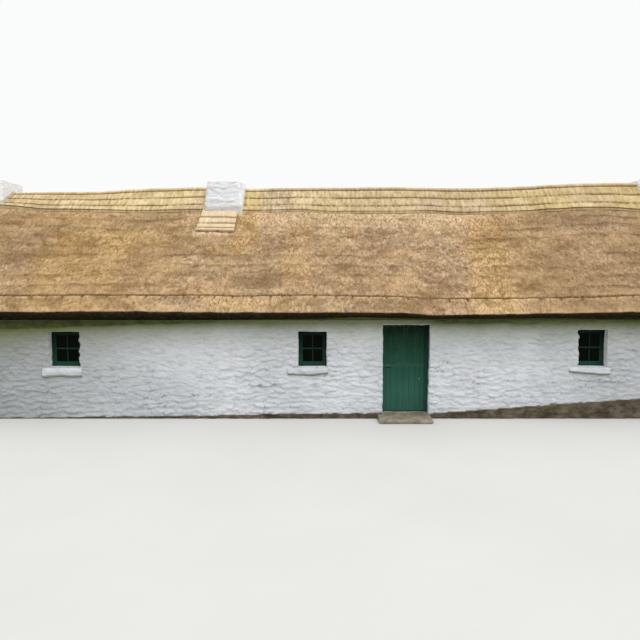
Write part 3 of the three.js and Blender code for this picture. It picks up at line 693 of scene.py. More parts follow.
def wall_skin(name, first, last, step, rise, openings, seed, across=None):
    """Limewashed rubble over one side of the house, with wavy edges turned into each opening.

    The surface is the house's rounded track moved out by the rubble's height; its columns
    and rows pass through the edges of the openings, and a strip runs from those edges back
    to each frame.
    """
    edges = [(*sorted((across(a), across(b))), low, high, deep) for a, b, low, high, deep in openings]
    s = stops(first, last, step, [v for e in edges for v in e[:2]])
    x, y, nx, ny = on_track(s)
    top = np.where(np.abs(x) < HALF_X - CORNER, WALL_TOP, np.minimum(roof_underside(y), GABLE_HEAD))
    if openings:
        z = np.repeat(stops(0, WALL_TOP, rise, [v for e in edges for v in e[2:4]])[:, None], len(s), 1)
    else:
        z = np.linspace(0, 1, round(top.max() / rise))[:, None] * top
    s = np.broadcast_to(s, z.shape).copy()
    out, joint = rubble(s, z, seed)
    shift_s, shift_z = np.zeros_like(s), np.zeros_like(z)
    keep = np.ones((len(z) - 1, len(s[0]) - 1), bool)
    shapes = {
        "wavy": 0.01 + 0.01 * layers(s * 7, z * 7, seed + 9, 3),
        "jagged": 0.018 + 0.026 * ripple(s * 3, z * 13, seed + 11),
        "slant": 0.036 * smooth((2.1 - z) / 2.1) - 0.004 + 0.01 * ripple(s * 3, z * 9, seed + 12),
    }
    rings = []
    for a, b, low, high, deep in edges:
        i0, i1 = np.abs(s[0] - a).argmin(), np.abs(s[0] - b).argmin()
        j0, j1 = np.abs(z[:, 0] - low).argmin(), np.abs(z[:, 0] - high).argmin()
        keep[j0:j1, i0:i1] = False
        for i, sign, kind in zip((i0, i1), (1, -1), JAGGED.get(round(a), ("wavy", "wavy"))):
            shift_s[j0:j1 + 1, i] += sign * np.maximum(shapes[kind][j0:j1 + 1, i], 0)
        for j, sign in ((j0, 1), (j1, -1)):
            if j > 0:
                shift_z[j, i0:i1 + 1] += sign * 0.6 * shapes["wavy"][j, i0:i1 + 1]
        left = [(j, i0) for j in range(j1, j0, -1)]
        right = [(j, i1) for j in range(j0, j1)]
        foot = [(j0, i) for i in range(i0, i1)]
        head = [(j1, i) for i in range(i1, i0, -1)]
        ring = left + foot + right + head if j0 > 0 else right + head + left + [(j0, i0)]
        rings.append((tuple(np.array(ring).T), deep, j0 > 0))
    s, z = s + shift_s, z + shift_z
    x, y, nx, ny = on_track(s)
    out = held_out(PROUD + out * smooth((top - z) / 0.02), 0.005, nx, ny)
    values = lime_values(x, z, top, joint, seed)
    if not openings:
        tucked = smooth((z - top + 0.16) / 0.05) * smooth((0.75 - np.abs(y)) / 0.15)
        out = out * (1 - tucked) + 0.003 * tucked
        values["algae"] = values["algae"] * (1 - smooth((0.62 - np.abs(y)) / 0.2))
    points = grid(x + nx * out, y + ny * out, z)
    sheets = [Sheet(points, keep, **values)]
    for ring, deep, closed in rings:
        ex, ey, ez = points[ring].T
        t = np.linspace(0, 1, 7)[:, None] ** 1.4
        wave = 0.005 * layers(ex * 9 + ez * 7, 4 * t, seed + 3, 3) * smooth(4 * t)
        rows = grid(ex + wave, ey + (np.sign(ey[0]) * (deep + 0.002) - ey) * t, ez)
        inside = {key: v[ring] for key, v in values.items()}
        away = smooth((ex - ex.mean()) / 0.2)
        # Reveals: painted light whitens them inwards, less on their right sides; painted shade darkens the
        # doorway's right reveal
        inside.update(
            bare=0, algae=inside["algae"] * 0.6, damp=inside["damp"] * 0.4,
            fresh=smooth(t * 3) * (1 - 0.2 * away), soot=(not closed) * 0.7 * away * smooth(t * 1.4),
        )
        sheets.append(Sheet(rows, ring=closed, **inside))
    piece(name, sheets, LIME)


def build_walls():
    """The four sides, each from the middle of one corner to the middle of the next."""
    door = (*DOORWAY[:2], 0.0, *DOORWAY[3:])
    gable = (SIDE_RUN, 0.034, 0.036, [])
    inner = HALF_X - CORNER
    for name, start, (long, step, rise, openings), seed, across in (
        ("front", 0, (FRONT_RUN, 0.0245, 0.0235, [*WINDOWS[:3], door]), 3, lambda x: inner + x),
        ("back", BACK_START, (FRONT_RUN, 0.036, 0.034, WINDOWS[3:]), 17, lambda x: BACK_START + inner - x),
        ("right_gable", FRONT_RUN + TURN, gable, 29, None),
        ("left_gable", BACK_START + FRONT_RUN + TURN, gable, 41, None),
    ):
        first, last = start - TURN / 2, start + long + TURN / 2
        wall_skin(f"{name}_limewash", first, last, step, rise, openings, seed, across)


def soft_block(low, high, radius, per_side, wobble, seed):
    """A worn block as one closed sheet: rounded loops that shrink to a line at the bottom and the top."""
    half_x, half_y = (high[0] - low[0]) / 2, (high[1] - low[1]) / 2
    most = min(half_x, half_y)
    angle = np.linspace(0, math.pi / 2, 4)
    turn_in, turn_up = radius * (1 - np.sin(angle)), radius * (1 - np.cos(angle))
    flat = np.linspace(most - 1e-4, radius, 6)[:-1]
    side = np.linspace(low[2] + radius, high[2] - radius, 5)[1:-1]
    inset = np.concatenate([flat, turn_in, 0 * side, turn_in[::-1], flat[::-1]])
    foot, head = low[2] + turn_up, high[2] - turn_up[::-1]
    z = np.concatenate([0 * flat + low[2], foot, side, head, 0 * flat + high[2]])
    rows = []
    for a, b in zip(inset, z):
        x, y, nx, ny = box_loop(half_x - a, half_y - a, min(radius, most - a), per_side)
        x, y = x + (low[0] + high[0]) / 2, y + (low[1] + high[1]) / 2
        drift = wobble * layers(x * 6 + y * 5, b * 6 + y * 3, seed, 3)
        lift = wobble * layers(x * 4, y * 5, seed + 3, 3) * (b > (low[2] + high[2]) / 2)
        rows.append(grid(x + nx * drift - nx * wobble, y + ny * drift - ny * wobble, b + lift - wobble))
    return Sheet(np.stack(rows), ring=True)


def build_stones():
    """Soft limewashed sills and a worn doorstep."""
    for n in range(1, 6):
        low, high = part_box(f"sill_{n}")
        near, far = (low.y - 0.006, high.y) if low.y < 0 else (low.y, high.y + 0.006)
        corners = (low.x, near, low.z - 0.004), (high.x, far, high.z - 0.001)
        block = soft_block(*corners, 0.035, 44, 0.012, 60 + n)
        x, z = block.points[..., 0], block.points[..., 2]
        sag = np.interp(x, (low.x, (low.x + high.x) / 2, high.x), SILL_FOOT[n])
        sag = (sag + 0.014 * layers(x * 5, 0, 65 + n, 3)) * smooth((low.z + 0.1 - z) / 0.08)
        z += sag
        # Painted shadow under the sill's overhang, grey and green; the patchy green low on the sill is a real
        # stain
        under = smooth((low.z + 0.036 - z + sag) / 0.02)
        stain = smooth(0.3 + layers(x * 5, z * 6, 75 + n, 3)) * smooth((low.z + 0.1 - z) / 0.06)
        block.values = {"joint": 0.8 * under, "algae": np.maximum(0.5 * under, 0.3 * stain)}
        piece(f"sill_{n}_limewash", [block], LIME, stands_for=[f"sill_{n}"])
    low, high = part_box("doorstep")
    block = soft_block(tuple(low), tuple(high), 0.035, 40, 0.006, 71)
    x, z = block.points[..., 0], block.points[..., 2]
    worn = bump(x - 1.6, 0.4) * smooth((z - 0.05) / 0.03)
    z[:] = np.maximum(z - 0.01 * worn, 0)
    piece("doorstep_stone", [block], STEP_STONE, stands_for=["doorstep"])


def stack_skin(name, node, seat, seed, flares):
    """Rough limewash round a stack, over its rounded head and down into its flue, as one sheet."""
    low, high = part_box(node)
    mid_x, mid_y = (low.x + high.x) / 2, (low.y + high.y) / 2
    x, y, nx, ny = box_loop((high.x - low.x) / 2, (high.y - low.y) / 2, 0.04, 30)
    s = np.concatenate([[0], np.cumsum(np.hypot(np.diff(x), np.diff(y)))])
    z = stops(seat, high.z - 0.012, 0.026)[:, None]
    out, joint = rubble(s, z - seat, seed)
    head = smooth((z - high.z + 0.1) / 0.09)
    out = held_out(0.024 + 0.9 * out - 0.004 * head, 0.006, nx, ny)
    calm = smooth((nx - 0.5) / 0.4) * (mid_x < 0)
    out = np.maximum(out - calm * (out - 0.03), 0.018 * smooth((GABLE_HEAD + 0.02 - z) / 0.1))
    surface = roof_top(x + mid_x, np.abs(y + mid_y)) + CAP_EDGE
    left, right, rise = flares
    flare = left * np.maximum(-nx, 0) ** 2 + right * np.maximum(nx, 0) ** 2
    out = out + flare * smooth((surface + rise - z) / rise)
    side = grid(x + nx * out + mid_x, y + ny * out + mid_y, z)
    fx, fy = box_loop(FLUE, FLUE, 0.02, 30)[:2]
    fx, fy = fx + mid_x, fy + mid_y
    t = np.array([0.012, 0.03, 0.1, 0.2, 0.35, 0.5, 0.65, 0.8, 0.92, 1])[:, None]
    lip = high.z + 0.002 + 0.002 * np.sin(math.pi * t) + 0.001 * layers(s * 9, t * 5, seed + 5, 3)
    ex, ey, ez = side[-1].T
    rounded = ez + (lip - ez) * smooth(t / 0.024)
    top = grid(ex * (1 - t) + fx * t, ey * (1 - t) + fy * t, rounded)
    deep = np.linspace(0, 0.5, 8)[1:, None]
    points = np.concatenate([side, top, grid(fx, fy, high.z - deep)])
    mortar = 0.8 * smooth((surface + 0.105 - z) / 0.06) * smooth(0.9 + layers(s * 6, 0, seed + 8, 2))
    pad = np.zeros((len(points) - len(z), 1))
    # Painted shade in the open joints; flues blackened by smoke and painted shade; painted light whiter all
    # round, most on the +x side
    values = {
        "joint": joined(0.22 * joint * (1 - calm), pad),
        "soot": joined(0 * z, 0.75 * smooth((t - 0.55) / 0.5), 0.75 + 0.25 * smooth(deep * 5)),
        "fresh": 0.7 + 0.3 * smooth(nx / 0.8),
        "mortar": joined(mortar, pad),
    }
    piece(name, [Sheet(points, ring=True, **values)], LIME)


def coat_rows():
    """Distances up the slope for the rows: close together at the lower edge of each course."""
    steps = (0, 0.04, 0.14, 0.3, 0.48, 0.66, 0.8, 0.91, 0.98)
    courses = [STITCH + COURSE * (n + t) for n in range(10) for t in steps]
    head = np.linspace(courses[-1], SLOPE_LONG, 5)[1:]
    return np.concatenate([stops(0, STITCH, 0.026)[:-1], courses, head])


def wander(x, d, seed):
    """How far a course at x strays up or down the slope: the stitched line little, the eaves not at all."""
    free = smooth(d / 0.3) * (0.25 + 0.75 * smooth((d - STITCH) / 0.5)) * smooth((SLOPE_LONG - d) / 0.3)
    sway = 0.1 * layers(x * 0.45, d * 1.1, seed, 3) + 0.046 * layers(x * 3.2, d * 2.6, seed + 4, 3)
    return free * (sway + 0.022 * layers(x * 8.5, d * 3, seed + 6, 2))


def coat_relief(x, d, seed):
    """How far the straw stands out at x, d metres up the slope, and its painted shade, puff and painted
    highlight.

    Courses overlap like saw teeth with a broken line of painted shade under each; clumps and stalk ends lie
    over them; a stitched line near the eaves pulls the coat in, with short ties below it, both darkened by
    painted shade.
    """
    course = (d - STITCH) / COURSE + 1e-6
    row = np.floor(course)
    t = course - row
    seen = smooth(0.46 + 1.2 * layers(x * 0.9, row * 3.7, seed + 8, 3)) * (row >= 0)
    broken = seen * smooth(0.58 + 1.3 * layers(x * 4.6, row * 5.1, seed + 9, 3))
    step = (1 - t) ** 2 * seen
    edge = np.maximum(smooth((t - 0.56) / 0.4), 0.8 * smooth((0.1 - t) / 0.1)) * broken
    clump = layers(x * 8, d * 7, seed + 10, 3)
    ends = layers(x * 20, d * 16, seed + 12, 2)
    drift = layers(x * 0.7, d * 0.8, seed + 14, 2)
    out = 0.014 * (step + drift) - 0.007 * edge + 0.009 * clump + 0.006 * ends
    stitch = bump(d - STITCH, 0.022) * (0.66 + 0.34 * smooth(0.6 + layers(x * 4, 0, seed + 19, 2)))
    phase = x / TICK + 0.4 * ripple(x * 0.9, 0, seed + 18)
    off = (phase - np.round(phase)) * TICK
    reach = 0.07 + 0.09 * chance(np.round(phase), 0, seed)
    tie = bump(off, 0.017) * smooth((STITCH - d) / 0.02) * smooth((d - STITCH + reach) / 0.05)
    puff = smooth((STITCH - d) / 0.05) * smooth((d + 0.05) / 0.08) * (1 - 0.5 * bump(off, 0.06))
    out = out - 0.026 * stitch - 0.018 * tie + 0.022 * puff
    # Painted shade: the broken line under each course, the stitched line and its ties
    shade = np.clip(0.5 * edge + 1.3 * stitch + 1.1 * tie, 0, 0.96)
    pad = bump(d - STITCH + 0.075, 0.045) * (1 - bump(off, 0.05))
    pad = pad * smooth(0.55 + 1.2 * layers(x * 1.7, 0, seed + 21, 2))
    # Painted highlight over the lower part of each course and on the pads between the ties, as if catching
    # the light
    return out, shade, puff, 0.16 * smooth((0.5 - np.abs(t - 0.35)) / 0.3) * seen + 0.34 * pad


def patches(x, z, spots, base, seed):
    """Patches with ragged straight sides, over broad drifts of tone."""
    ragged = 0.05 * layers(x * 2, np.floor(z * 4.2) * 3.1, seed, 2) + 0.03 * layers(x * 5, z * 6, seed + 2, 2)
    tone = base + 0.5 * layers(x * 0.6, z * 0.9, seed + 1, 4)
    for px, pz, wide, high, much in spots:
        off = np.abs(x - px - 0.13 * (z - pz))
        inside = smooth((wide - off + ragged) / 0.06 + 0.5) * smooth((high - np.abs(z - pz) + ragged) / 0.14)
        tone = tone + much * inside
    return np.clip(tone, 0, 1)


def tones(x, z, side, seed=37):
    """The gold, grey and brown of the straw; the back wears the front's patches the other way round."""
    x = side * -x
    at, gold, grey, brown = np.array(TONE_LINE).T
    return {
        "gold": patches(x, z, GOLD_PATCHES, np.interp(x, at, gold), seed),
        "grey": patches(x, z, GREY_PATCHES, np.interp(x, at, grey), seed + 9),
        "brown": np.clip(np.interp(x, at, brown) + 0.45 * layers(x * 0.8, z * 1.6, seed + 15, 4), 0, 1),
    }


def bleached(x, d, side):
    """How pale the straw is below the ridge, most of all over the middle, and in a fringe below the apron."""
    x = side * -x
    middle = smooth((x + 2.3) / 0.7) * smooth((4.4 - x) / 1.4)
    fringe = smooth((0.44 - np.abs(x + 2.85 + 0.1 * (d - 2.7))) / 0.05)
    fringe = fringe * smooth((0.13 - np.abs(d - 2.5)) / 0.04)
    high = smooth((d - 2.3 - 0.3 * (1 - middle) + 0.3 * layers(x * 1.5, d, 48, 3)) / 1.1)
    return (0.24 + 0.5 * middle) * high + 0.8 * fringe


def clear_of_stacks(points, margin=0.03):
    """Which faces of a grid lie outside the stacks, so that none shows inside a flue."""
    middle = (points[:-1, :-1] + points[1:, 1:]) / 2
    return ~in_stack(middle[..., 0], middle[..., 1], margin)


def in_stack(x, y, margin):
    """Which places lie inside a stack by more than the margin; an end stack reaches past the verge."""
    inside = np.zeros(np.shape(x), bool)
    for name, (low, high) in STACKS.items():
        x0 = -np.inf if name == "left_chimney" else low.x + margin
        x1 = np.inf if name == "right_chimney" else high.x - margin
        inside |= (x > x0) & (x < x1) & (y > low.y + margin) & (y < high.y - margin)
    return inside


def coat_surface(x, d, seed):
    """The upper surface of a slope: distance out from the ridge, height, painted shade, puff and painted
    highlight.
    """
    out, shade, puff, lit = coat_relief(x, d, seed)
    lip = smooth((d + 0.01) / 0.11)
    far = LIP_Y * (1 - (d + wander(x, d, seed)) / SLOPE_LONG)
    y = far - 0.028 + (out - 0.004) * math.sin(PITCH) * lip
    droop = 0.05 - straight(LIP_RAISE, x)
    z = roof_top(x, far) - droop * (1 - lip) ** 2 + (out - 0.004) * math.cos(PITCH) * lip
    return np.minimum(y, LIP_Y - 0.004), z, shade, puff, lit


def thatch_coat(name, side, columns, seed, node):
    """The whole thatch of one slope: underside, cut face, lip and upper surface round each x."""
    x = np.linspace(-VERGE_X + 0.03, VERGE_X - 0.03, columns)[None, :]
    d = coat_rows()[:, None]
    y, z, shade, puff, lit = coat_surface(x, d, seed)
    cut = np.linspace(0, 1, CUT_ROWS)[:-1, None]
    low_z = eased(EAVES_LINE, x) + 0.006 + straight(LIP_RAISE, x) + 0.018 * layers(x * 4, 0, seed + 50, 4)
    nose_y = LIP_Y - 0.035 + 0.01 * layers(x * 6, 0, seed + 52, 3)
    cut_y = HALF_Y + (nose_y - HALF_Y) * cut
    cut_z = WALL_TOP + (low_z - WALL_TOP) * cut ** 0.8
    cut_z = cut_z + 0.006 * layers(x * 18, cut * 6, seed + 54, 2) * smooth(cut * 3)
    under = np.linspace(1, 0, UNDER_ROWS)[:-1, None]
    ys = joined(HALF_Y * (1 - under) + 0.0006, cut_y, y)
    zs = joined(WALL_TOP + ROOF_SLOPE * HALF_Y * under, cut_z, z)
    # Painted shade on the cut face: full at the wall, a little less in streaks towards the lip
    cut_shade = 1 - (0.1 + 0.2 * smooth(layers(x * 14, cut * 5, seed + 58, 2))) * cut ** 3
    green = smooth((straight(GREEN_REACH, side * -x) - cut) / 0.12)
    nose = bump(d, 0.045) * (0.6 + 0.4 * layers(x * 9, 0, seed + 56, 2))
    # Painted highlight on the lip and the pads, over straw that is really bleached below the ridge
    light = np.maximum(np.maximum(0.5 * nose, 0.04 * puff), lit + bleached(x, d, side))
    # The underside inside the walls and the cut face get painted shade; the green of the underside is real
    # growth
    values = {
        "shade": joined(0.3 + 0 * under, 0 * cut, shade),
        "deep": joined(0.3 + 0 * under, cut_shade, 0 * d),
        "moss": joined(0 * under, green, 0 * d),
        "pale": joined(0 * under, 0 * cut, np.clip(light, 0, 1)),
        **tones(x, zs, side),
    }
    points = grid(x, side * ys, zs)
    spine = np.stack([points[-1], points[0]])
    sheets = [
        Sheet(points, clear_of_stacks(points), flip=side > 0, **values),
        Sheet(spine, clear_of_stacks(spine), flip=side > 0, shade=0.5),
        verge(points[:, 0], side, -1, seed),
        verge(points[:, -1], side, 1, seed),
    ]
    for low, high in (STACKS["left_chimney"], STACKS["right_chimney"]):
        start = min(abs(low.x), abs(high.x)) + 0.6
        sheets.append(cheek(side, math.copysign(1, low.x), high.y + 0.008, start))
    piece(name, sheets, THATCH, stands_for=[node])


def cheek(side, sign, y, start):
    """The end of the coat where it meets an end stack past the gable: upright, from underside to cap."""
    x = sign * np.linspace(start, VERGE_X - 0.022, 9)[None, :]
    t = np.linspace(0, 1, 7)[:, None]
    z = roof_underside(y) * (1 - t) + (roof_top(x, y) + 0.01) * t
    bulge = 0.004 * layers(x * 12, z * 7, 77, 2)
    return Sheet(grid(x, side * (y - bulge), z), flip=(side > 0) != (sign > 0), shade=0.3 + 0.3 * (1 - t))


def verge(section, side, sign, seed):
    """The cut straw at one end of a slope: rows from the upper surface to the underside at the same y."""
    outer, under = section[UNDER_ROWS - 1:], section[:UNDER_ROWS][::-1]
    reach = np.clip(np.abs(outer[:, 1]), np.abs(under[-1, 1]), np.abs(under[0, 1]))
    base = np.interp(reach, np.abs(under[::-1, 1]), under[::-1, 2])
    inner = grid(under[0, 0], side * reach, base)
    w, t = np.arange(len(outer)) / 5, np.linspace(0, 1, 8)[:, None]
    face = outer * (1 - t[..., None]) + inner * t[..., None]
    swell = smooth(4 * t) * smooth(4 * (1 - t)) * (0.6 + 0.4 * layers(w, t * 9, seed + 70, 3))
    face[..., 0] += sign * 0.02 * swell
    shade = np.clip(0.1 + 0.55 * t, 0, 0.7)
    return Sheet(face, clear_of_stacks(face), flip=(side > 0) != (sign > 0), shade=shade, gold=0.2)


def stalks(name, side, count, seed, coat_seed):
    """Loose stalk ends: narrow blades that lie down the slope and lift at their lower ends.

    Each head lies on the coat at a chance place. Its foot is a chance length down the slope,
    turned by a chance angle and lifted along the slope's normal.
    """
    rng = np.random.default_rng(seed)
    x = rng.uniform(-VERGE_X + 0.08, VERGE_X - 0.08, count)
    d = rng.uniform(0.06, SLOPE_LONG - 0.86, count)
    long, wide = rng.uniform(0.04, 0.11, count), rng.uniform(0.003, 0.008, count)
    yaw, lift = rng.normal(0, 0.5, count), rng.uniform(0.002, 0.014, count)
    y, z = coat_surface(x, d, coat_seed)[:2]
    head = grid(x, side * y, z)
    foot_x, foot_d = x + long * np.sin(yaw), np.maximum(d - long * np.cos(yaw), 0.01)
    y, z = coat_surface(foot_x, foot_d, coat_seed)[:2]
    normal = np.array([0, side * math.sin(PITCH), math.cos(PITCH)])
    foot = grid(foot_x, side * y, z) + normal * lift[:, None]
    across = grid(np.cos(yaw) * wide, 0, 0)
    ends = [[head - across, head + across], [foot - across / 2, foot + across / 2]]
    free = ~in_stack(x, head[:, 1], -0.06)
    points = np.array([np.stack(end, 1)[free].reshape(-1, 3) for end in ends])
    keep = (np.arange(points.shape[1] - 1) % 2 == 0)[None]
    tone = np.repeat(rng.uniform(0, 1, count)[free], 2)
    gold = np.repeat(tones(x, head[:, 2], side)["gold"][free], 2)
    piece(name, [Sheet(points, keep, flip=side < 0, tone=tone, gold=gold)], STALK, merge=False)


def stitched(x, out, lines, seed, pitch=0.165):
    """Dashes and dots along stitched lines: how deep each place is pulled in."""
    total = 0
    for k, line in enumerate(lines):
        off = out - line - 0.007 * ripple(x * 1.3, 0, seed + k) - 0.004 * ripple(x * 6, 0, seed + 20 + k)
        dots = bump(np.mod(x / pitch + 0.3 * ripple(x, 0, seed + 30 + k), 1) - 0.5, 0.24)
        dashes = smooth(0.5 + 1.4 * layers(x * 1.6, 0, seed + 40 + k, 2))
        total = total + bump(off, 0.022) * np.clip(0.3 + 0.5 * dots + (0.6 * dashes if k else 0.65), 0, 1)
    return np.clip(total, 0, 1)


def ridge_cap(name, x0, x1, seed, node):
    """A stitched straw cap over the ridge: puffed bands between stitched lines, a roll along the top."""
    x = np.concatenate([[x0] * 3, np.arange(x0, x1, 0.027), [x1] * 3])[None, :]
    fold = np.array([1, 0.7, 0.45, 0.3, 0.15, 0])
    inner = stops(-CAP_RUN, CAP_RUN, 0.019)[1:-1]
    y = np.concatenate([0 * fold - CAP_RUN, inner, 0 * fold + CAP_RUN])[:, None]
    edge = folded(fold, len(inner))[:, None]
    out = np.abs(y)
    ragged = 0.009 * layers(x * 9, np.sign(y) * 3, seed, 3)
    thick = CAP * np.interp(out, [0, 0.03, 0.058, 0.09, CAP_RUN], [1, 0.96, 0.8, 0.88, CAP_EDGE / CAP])
    sewn = stitched(x, out, CAP_LINES, seed)
    bundle = x / 0.105 + 0.35 * ripple(x * 1.8, 0, seed + 5)
    pinch = bump((bundle - np.round(bundle)) * 0.105, 0.016)
    pinch = pinch * smooth(0.5 + layers(x * 1.5, y * 3, seed + 6, 2))
    rise = 0.008 - 0.018 * sewn - 0.004 * pinch
    rise = rise + 0.004 * layers(x * 22, y * 7, seed + 9, 3) + 0.006 * layers(x * 2, y * 3, seed + 10, 2)
    z = roof_top(x, out) + thick + rise * (1 - edge) - edge * 0.066 - 0.1 * folded(SIDE_FOLD, x.size - 6)
    # Painted shade: a dark line in the fold under the cap's lower edge; stitched lines and the grooves
    # between bundles get some too
    foot = np.interp(edge, [0, 0.15, 0.3, 0.45, 0.7, 1], [0.85, 1, 0.8, 0.35, 0.12, 0.1]) * (edge > 0)
    weight = np.clip(straight(CAP_FOOT_DARK, x) + 0.3 * layers(x * 1.3, 0, seed + 16, 3) + 0.15, 0.2, 1)
    gold = 0.16 + 0.4 * layers(x * 0.9, y * 1.5, seed + 11, 3)
    grey = 0.16 + 0.3 * layers(x * 0.7, y * 1.5, seed + 12, 2)
    for middle, half, more, dull in CAP_TONES:
        inside = smooth((half - np.abs(x - middle) + 0.03 * np.sin(y * 21)) / 0.2 + 0.5)
        gold, grey = gold + more * inside, grey + dull * inside
    brown = straight(CAP_BROWN, x) + 0.3 * smooth(3 * edge - 1) + 0.35 * layers(x * 1.4, y * 5, seed + 14, 4)
    values = {
        "shade": np.clip(0.95 * sewn + 0.22 * pinch + foot * weight, 0, 0.97),
        "gold": np.clip(gold, 0, 1), "grey": np.clip(grey, 0, 1), "brown": np.clip(brown, 0, 1),
        "pale": 0.6 * bump(out, 0.03),
    }
    points = grid(x, y + np.sign(y) * (ragged - 0.01 * smooth(edge * 1.4)), z)
    piece(name, [Sheet(points, clear_of_stacks(points), **values)], CAP_STRAW, stands_for=[node])


def apron(name, side, seed, node):
    """A stitched pale band below the middle stack, wider at its foot, which ends in a roll."""
    low, high = STACKS["middle_chimney"]
    head = abs(low.y) if side < 0 else abs(high.y)
    fold = np.linspace(0, 1, 5)
    out = np.concatenate([stops(head - 0.02, APRON_FOOT, 0.016), 0 * fold + APRON_FOOT])[:, None]
    edge = np.concatenate([np.zeros(len(out) - 5), fold])[:, None]
    left, right = (at + flare * out / APRON_FOOT for at, flare in APRON_SIDES)
    if side > 0:
        left, right = low.x + high.x - right, low.x + high.x - left
    u = np.clip(np.arange(-3, APRON_COLUMNS + 3) / (APRON_COLUMNS - 1), 0, 1)
    side_edge = folded(SIDE_FOLD, APRON_COLUMNS)
    x = left + (right - left) * u + 0.006 * layers(out * 20, u * 3, seed, 2)
    sewn = stitched(x, out, APRON_LINES, seed + 3, 0.105)
    roll = bump(out - APRON_FOOT + 0.025, 0.03)
    rise = 0.004 * layers(x * 22, out * 8, seed + 5, 3) - 0.014 * sewn + 0.01 * roll
    drop = np.maximum(edge, side_edge)
    z = roof_top(x, out) + APRON - 0.004 + rise * (1 - drop) - 0.058 * drop
    # Painted shade: a dark line at the bottom of the roll, and on the folded sides
    foot = np.interp(edge, [0, 0.25, 0.5, 0.75], [0, 0.2, 0.8, 1])
    foot = foot * (0.7 + 0.3 * layers(x * 9, 0, seed + 8, 2))
    values = {
        "shade": np.clip(0.85 * sewn + foot + 0.3 * side_edge, 0, 0.95),
        "grey": 1.0, "pale": 0.7, "brown": 0.2 * layers(x * 4, out * 9, seed + 9, 3),
    }
    y = side * (out + 0.006 * layers(x * 12, 0, seed + 6, 2) * (edge < 0.6))
    piece(name, [Sheet(grid(x, y, z), flip=side < 0, **values)], CAP_STRAW, stands_for=[node])


def build_roof():
    """Both slopes with their loose stalks, the ridge caps, the aprons and the stacks."""
    thatch_coat("front_thatch_coat", -1, 710, 7, "front_thatch")
    thatch_coat("back_thatch_coat", 1, 420, 57, "back_thatch")
    stalks("front_stalks", -1, 42000, 5, 7)
    stalks("back_stalks", 1, 24000, 6, 57)
    low, high = STACKS["middle_chimney"]
    ridge_cap("ridge_cap_left_straw", -VERGE_X + 0.02, low.x, 23, "ridge_cap_left")
    ridge_cap("ridge_cap_right_straw", high.x, VERGE_X - 0.02, 24, "ridge_cap_right")
    apron("front_apron_straw", -1, 25, "front_apron")
    apron("back_apron_straw", 1, 26, "back_apron")
    stack_skin("left_stack_limewash", "left_chimney", 4.2, 91, (0, 0, 0.3))
    stack_skin("middle_stack_limewash", "middle_chimney", 4.3, 92, (0.085, 0.045, 0.6))
    stack_skin("right_stack_limewash", "right_chimney", 4.2, 93, (0.12, 0, 0.17))


def moulding(x0, x1, z0, z1, outline, side):
    """A section swept round a rectangle with mitred corners.

    Each point of the section is its distance in from the edge, and out from the middle of the house.
    """
    u, y = np.array(outline).T
    corners = ((x0, z0, 1, 1), (x1, z0, -1, 1), (x1, z1, -1, -1), (x0, z1, 1, -1), (x0, z0, 1, 1))
    rows = [grid(x + sx * u, side * y, z + sz * u) for x, z, sx, sz in corners]
    return Sheet(np.stack(rows), ring=True, flip=side < 0)


def bar(start, end, half_wide, half_thick, chamfer=0.003, **values):
    """A straight bar with chamfered edges, closed at both ends; wide is across it in X or Z, thick in Y."""
    start, end = np.array(start, float), np.array(end, float)
    way = (end - start) / np.linalg.norm(end - start)
    w, t, c = half_wide, half_thick, chamfer
    half = np.array([(-w + c, -t), (w - c, -t), (w, -t + c), (w, t - c)])
    wide, thick = np.concatenate([half, -half]).T[..., None]
    offset = wide * (way[2], 0, -way[0]) + thick * (0, 1, 0)
    rows = [start + 0 * offset, start + offset, end + offset, end + 0 * offset]
    return Sheet(np.stack(rows), ring=True, **values)


def build_windows():
    """Each window: a box frame, a lighter sash inside it and crossed bars."""
    for n in range(1, 6):
        low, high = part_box(f"window_frame_{n}")
        side = -1 if low.y < 0 else 1
        face = max(abs(low.y), abs(high.y))
        back = face - (high.y - low.y)
        lip = FRAME_WIDE + 0.004
        frame_section = [(0, face), (FRAME_WIDE, face), (lip, face - 0.004), (lip, back), (0, back)]
        sash_section = [
            (FRAME_WIDE, face - 0.012), (FRAME_WIDE + 0.006, face - 0.008), (SASH_WIDE - 0.012, face - 0.008),
            (SASH_WIDE, face - 0.018), (SASH_WIDE, back + 0.004), (FRAME_WIDE, back + 0.004),
        ]
        x0, x1, z0, z1 = low.x, high.x, low.z, high.z
        sheets = [moulding(x0, x1, z0, z1, section, side) for section in (frame_section, sash_section)]
        # Painted shade: frame and sash darkest at their heads under the lintel; bars darker too
        for ring, gloom in zip(sheets, (0.9, 0.8)):
            ring.values = {"gloom": gloom * np.array([0.3, 0.45, 1.0, 0.95, 0.3])[:, None]}
        xm, zm, y = (x0 + x1) / 2, (z0 + z1) / 2, side * (face - 0.0165)
        inset = SASH_WIDE - 0.004
        sheets.append(bar((xm, y, z0 + inset), (xm, y, z1 - inset), *GLAZING, gloom=0.66))
        sheets.append(bar((x0 + inset, y, zm), (x1 - inset, y, zm), *GLAZING, gloom=0.66, edge=0.2))
        piece(f"window_{n}_joinery", sheets, PAINT, stands_for=[f"window_frame_{n}"], crisp=30)


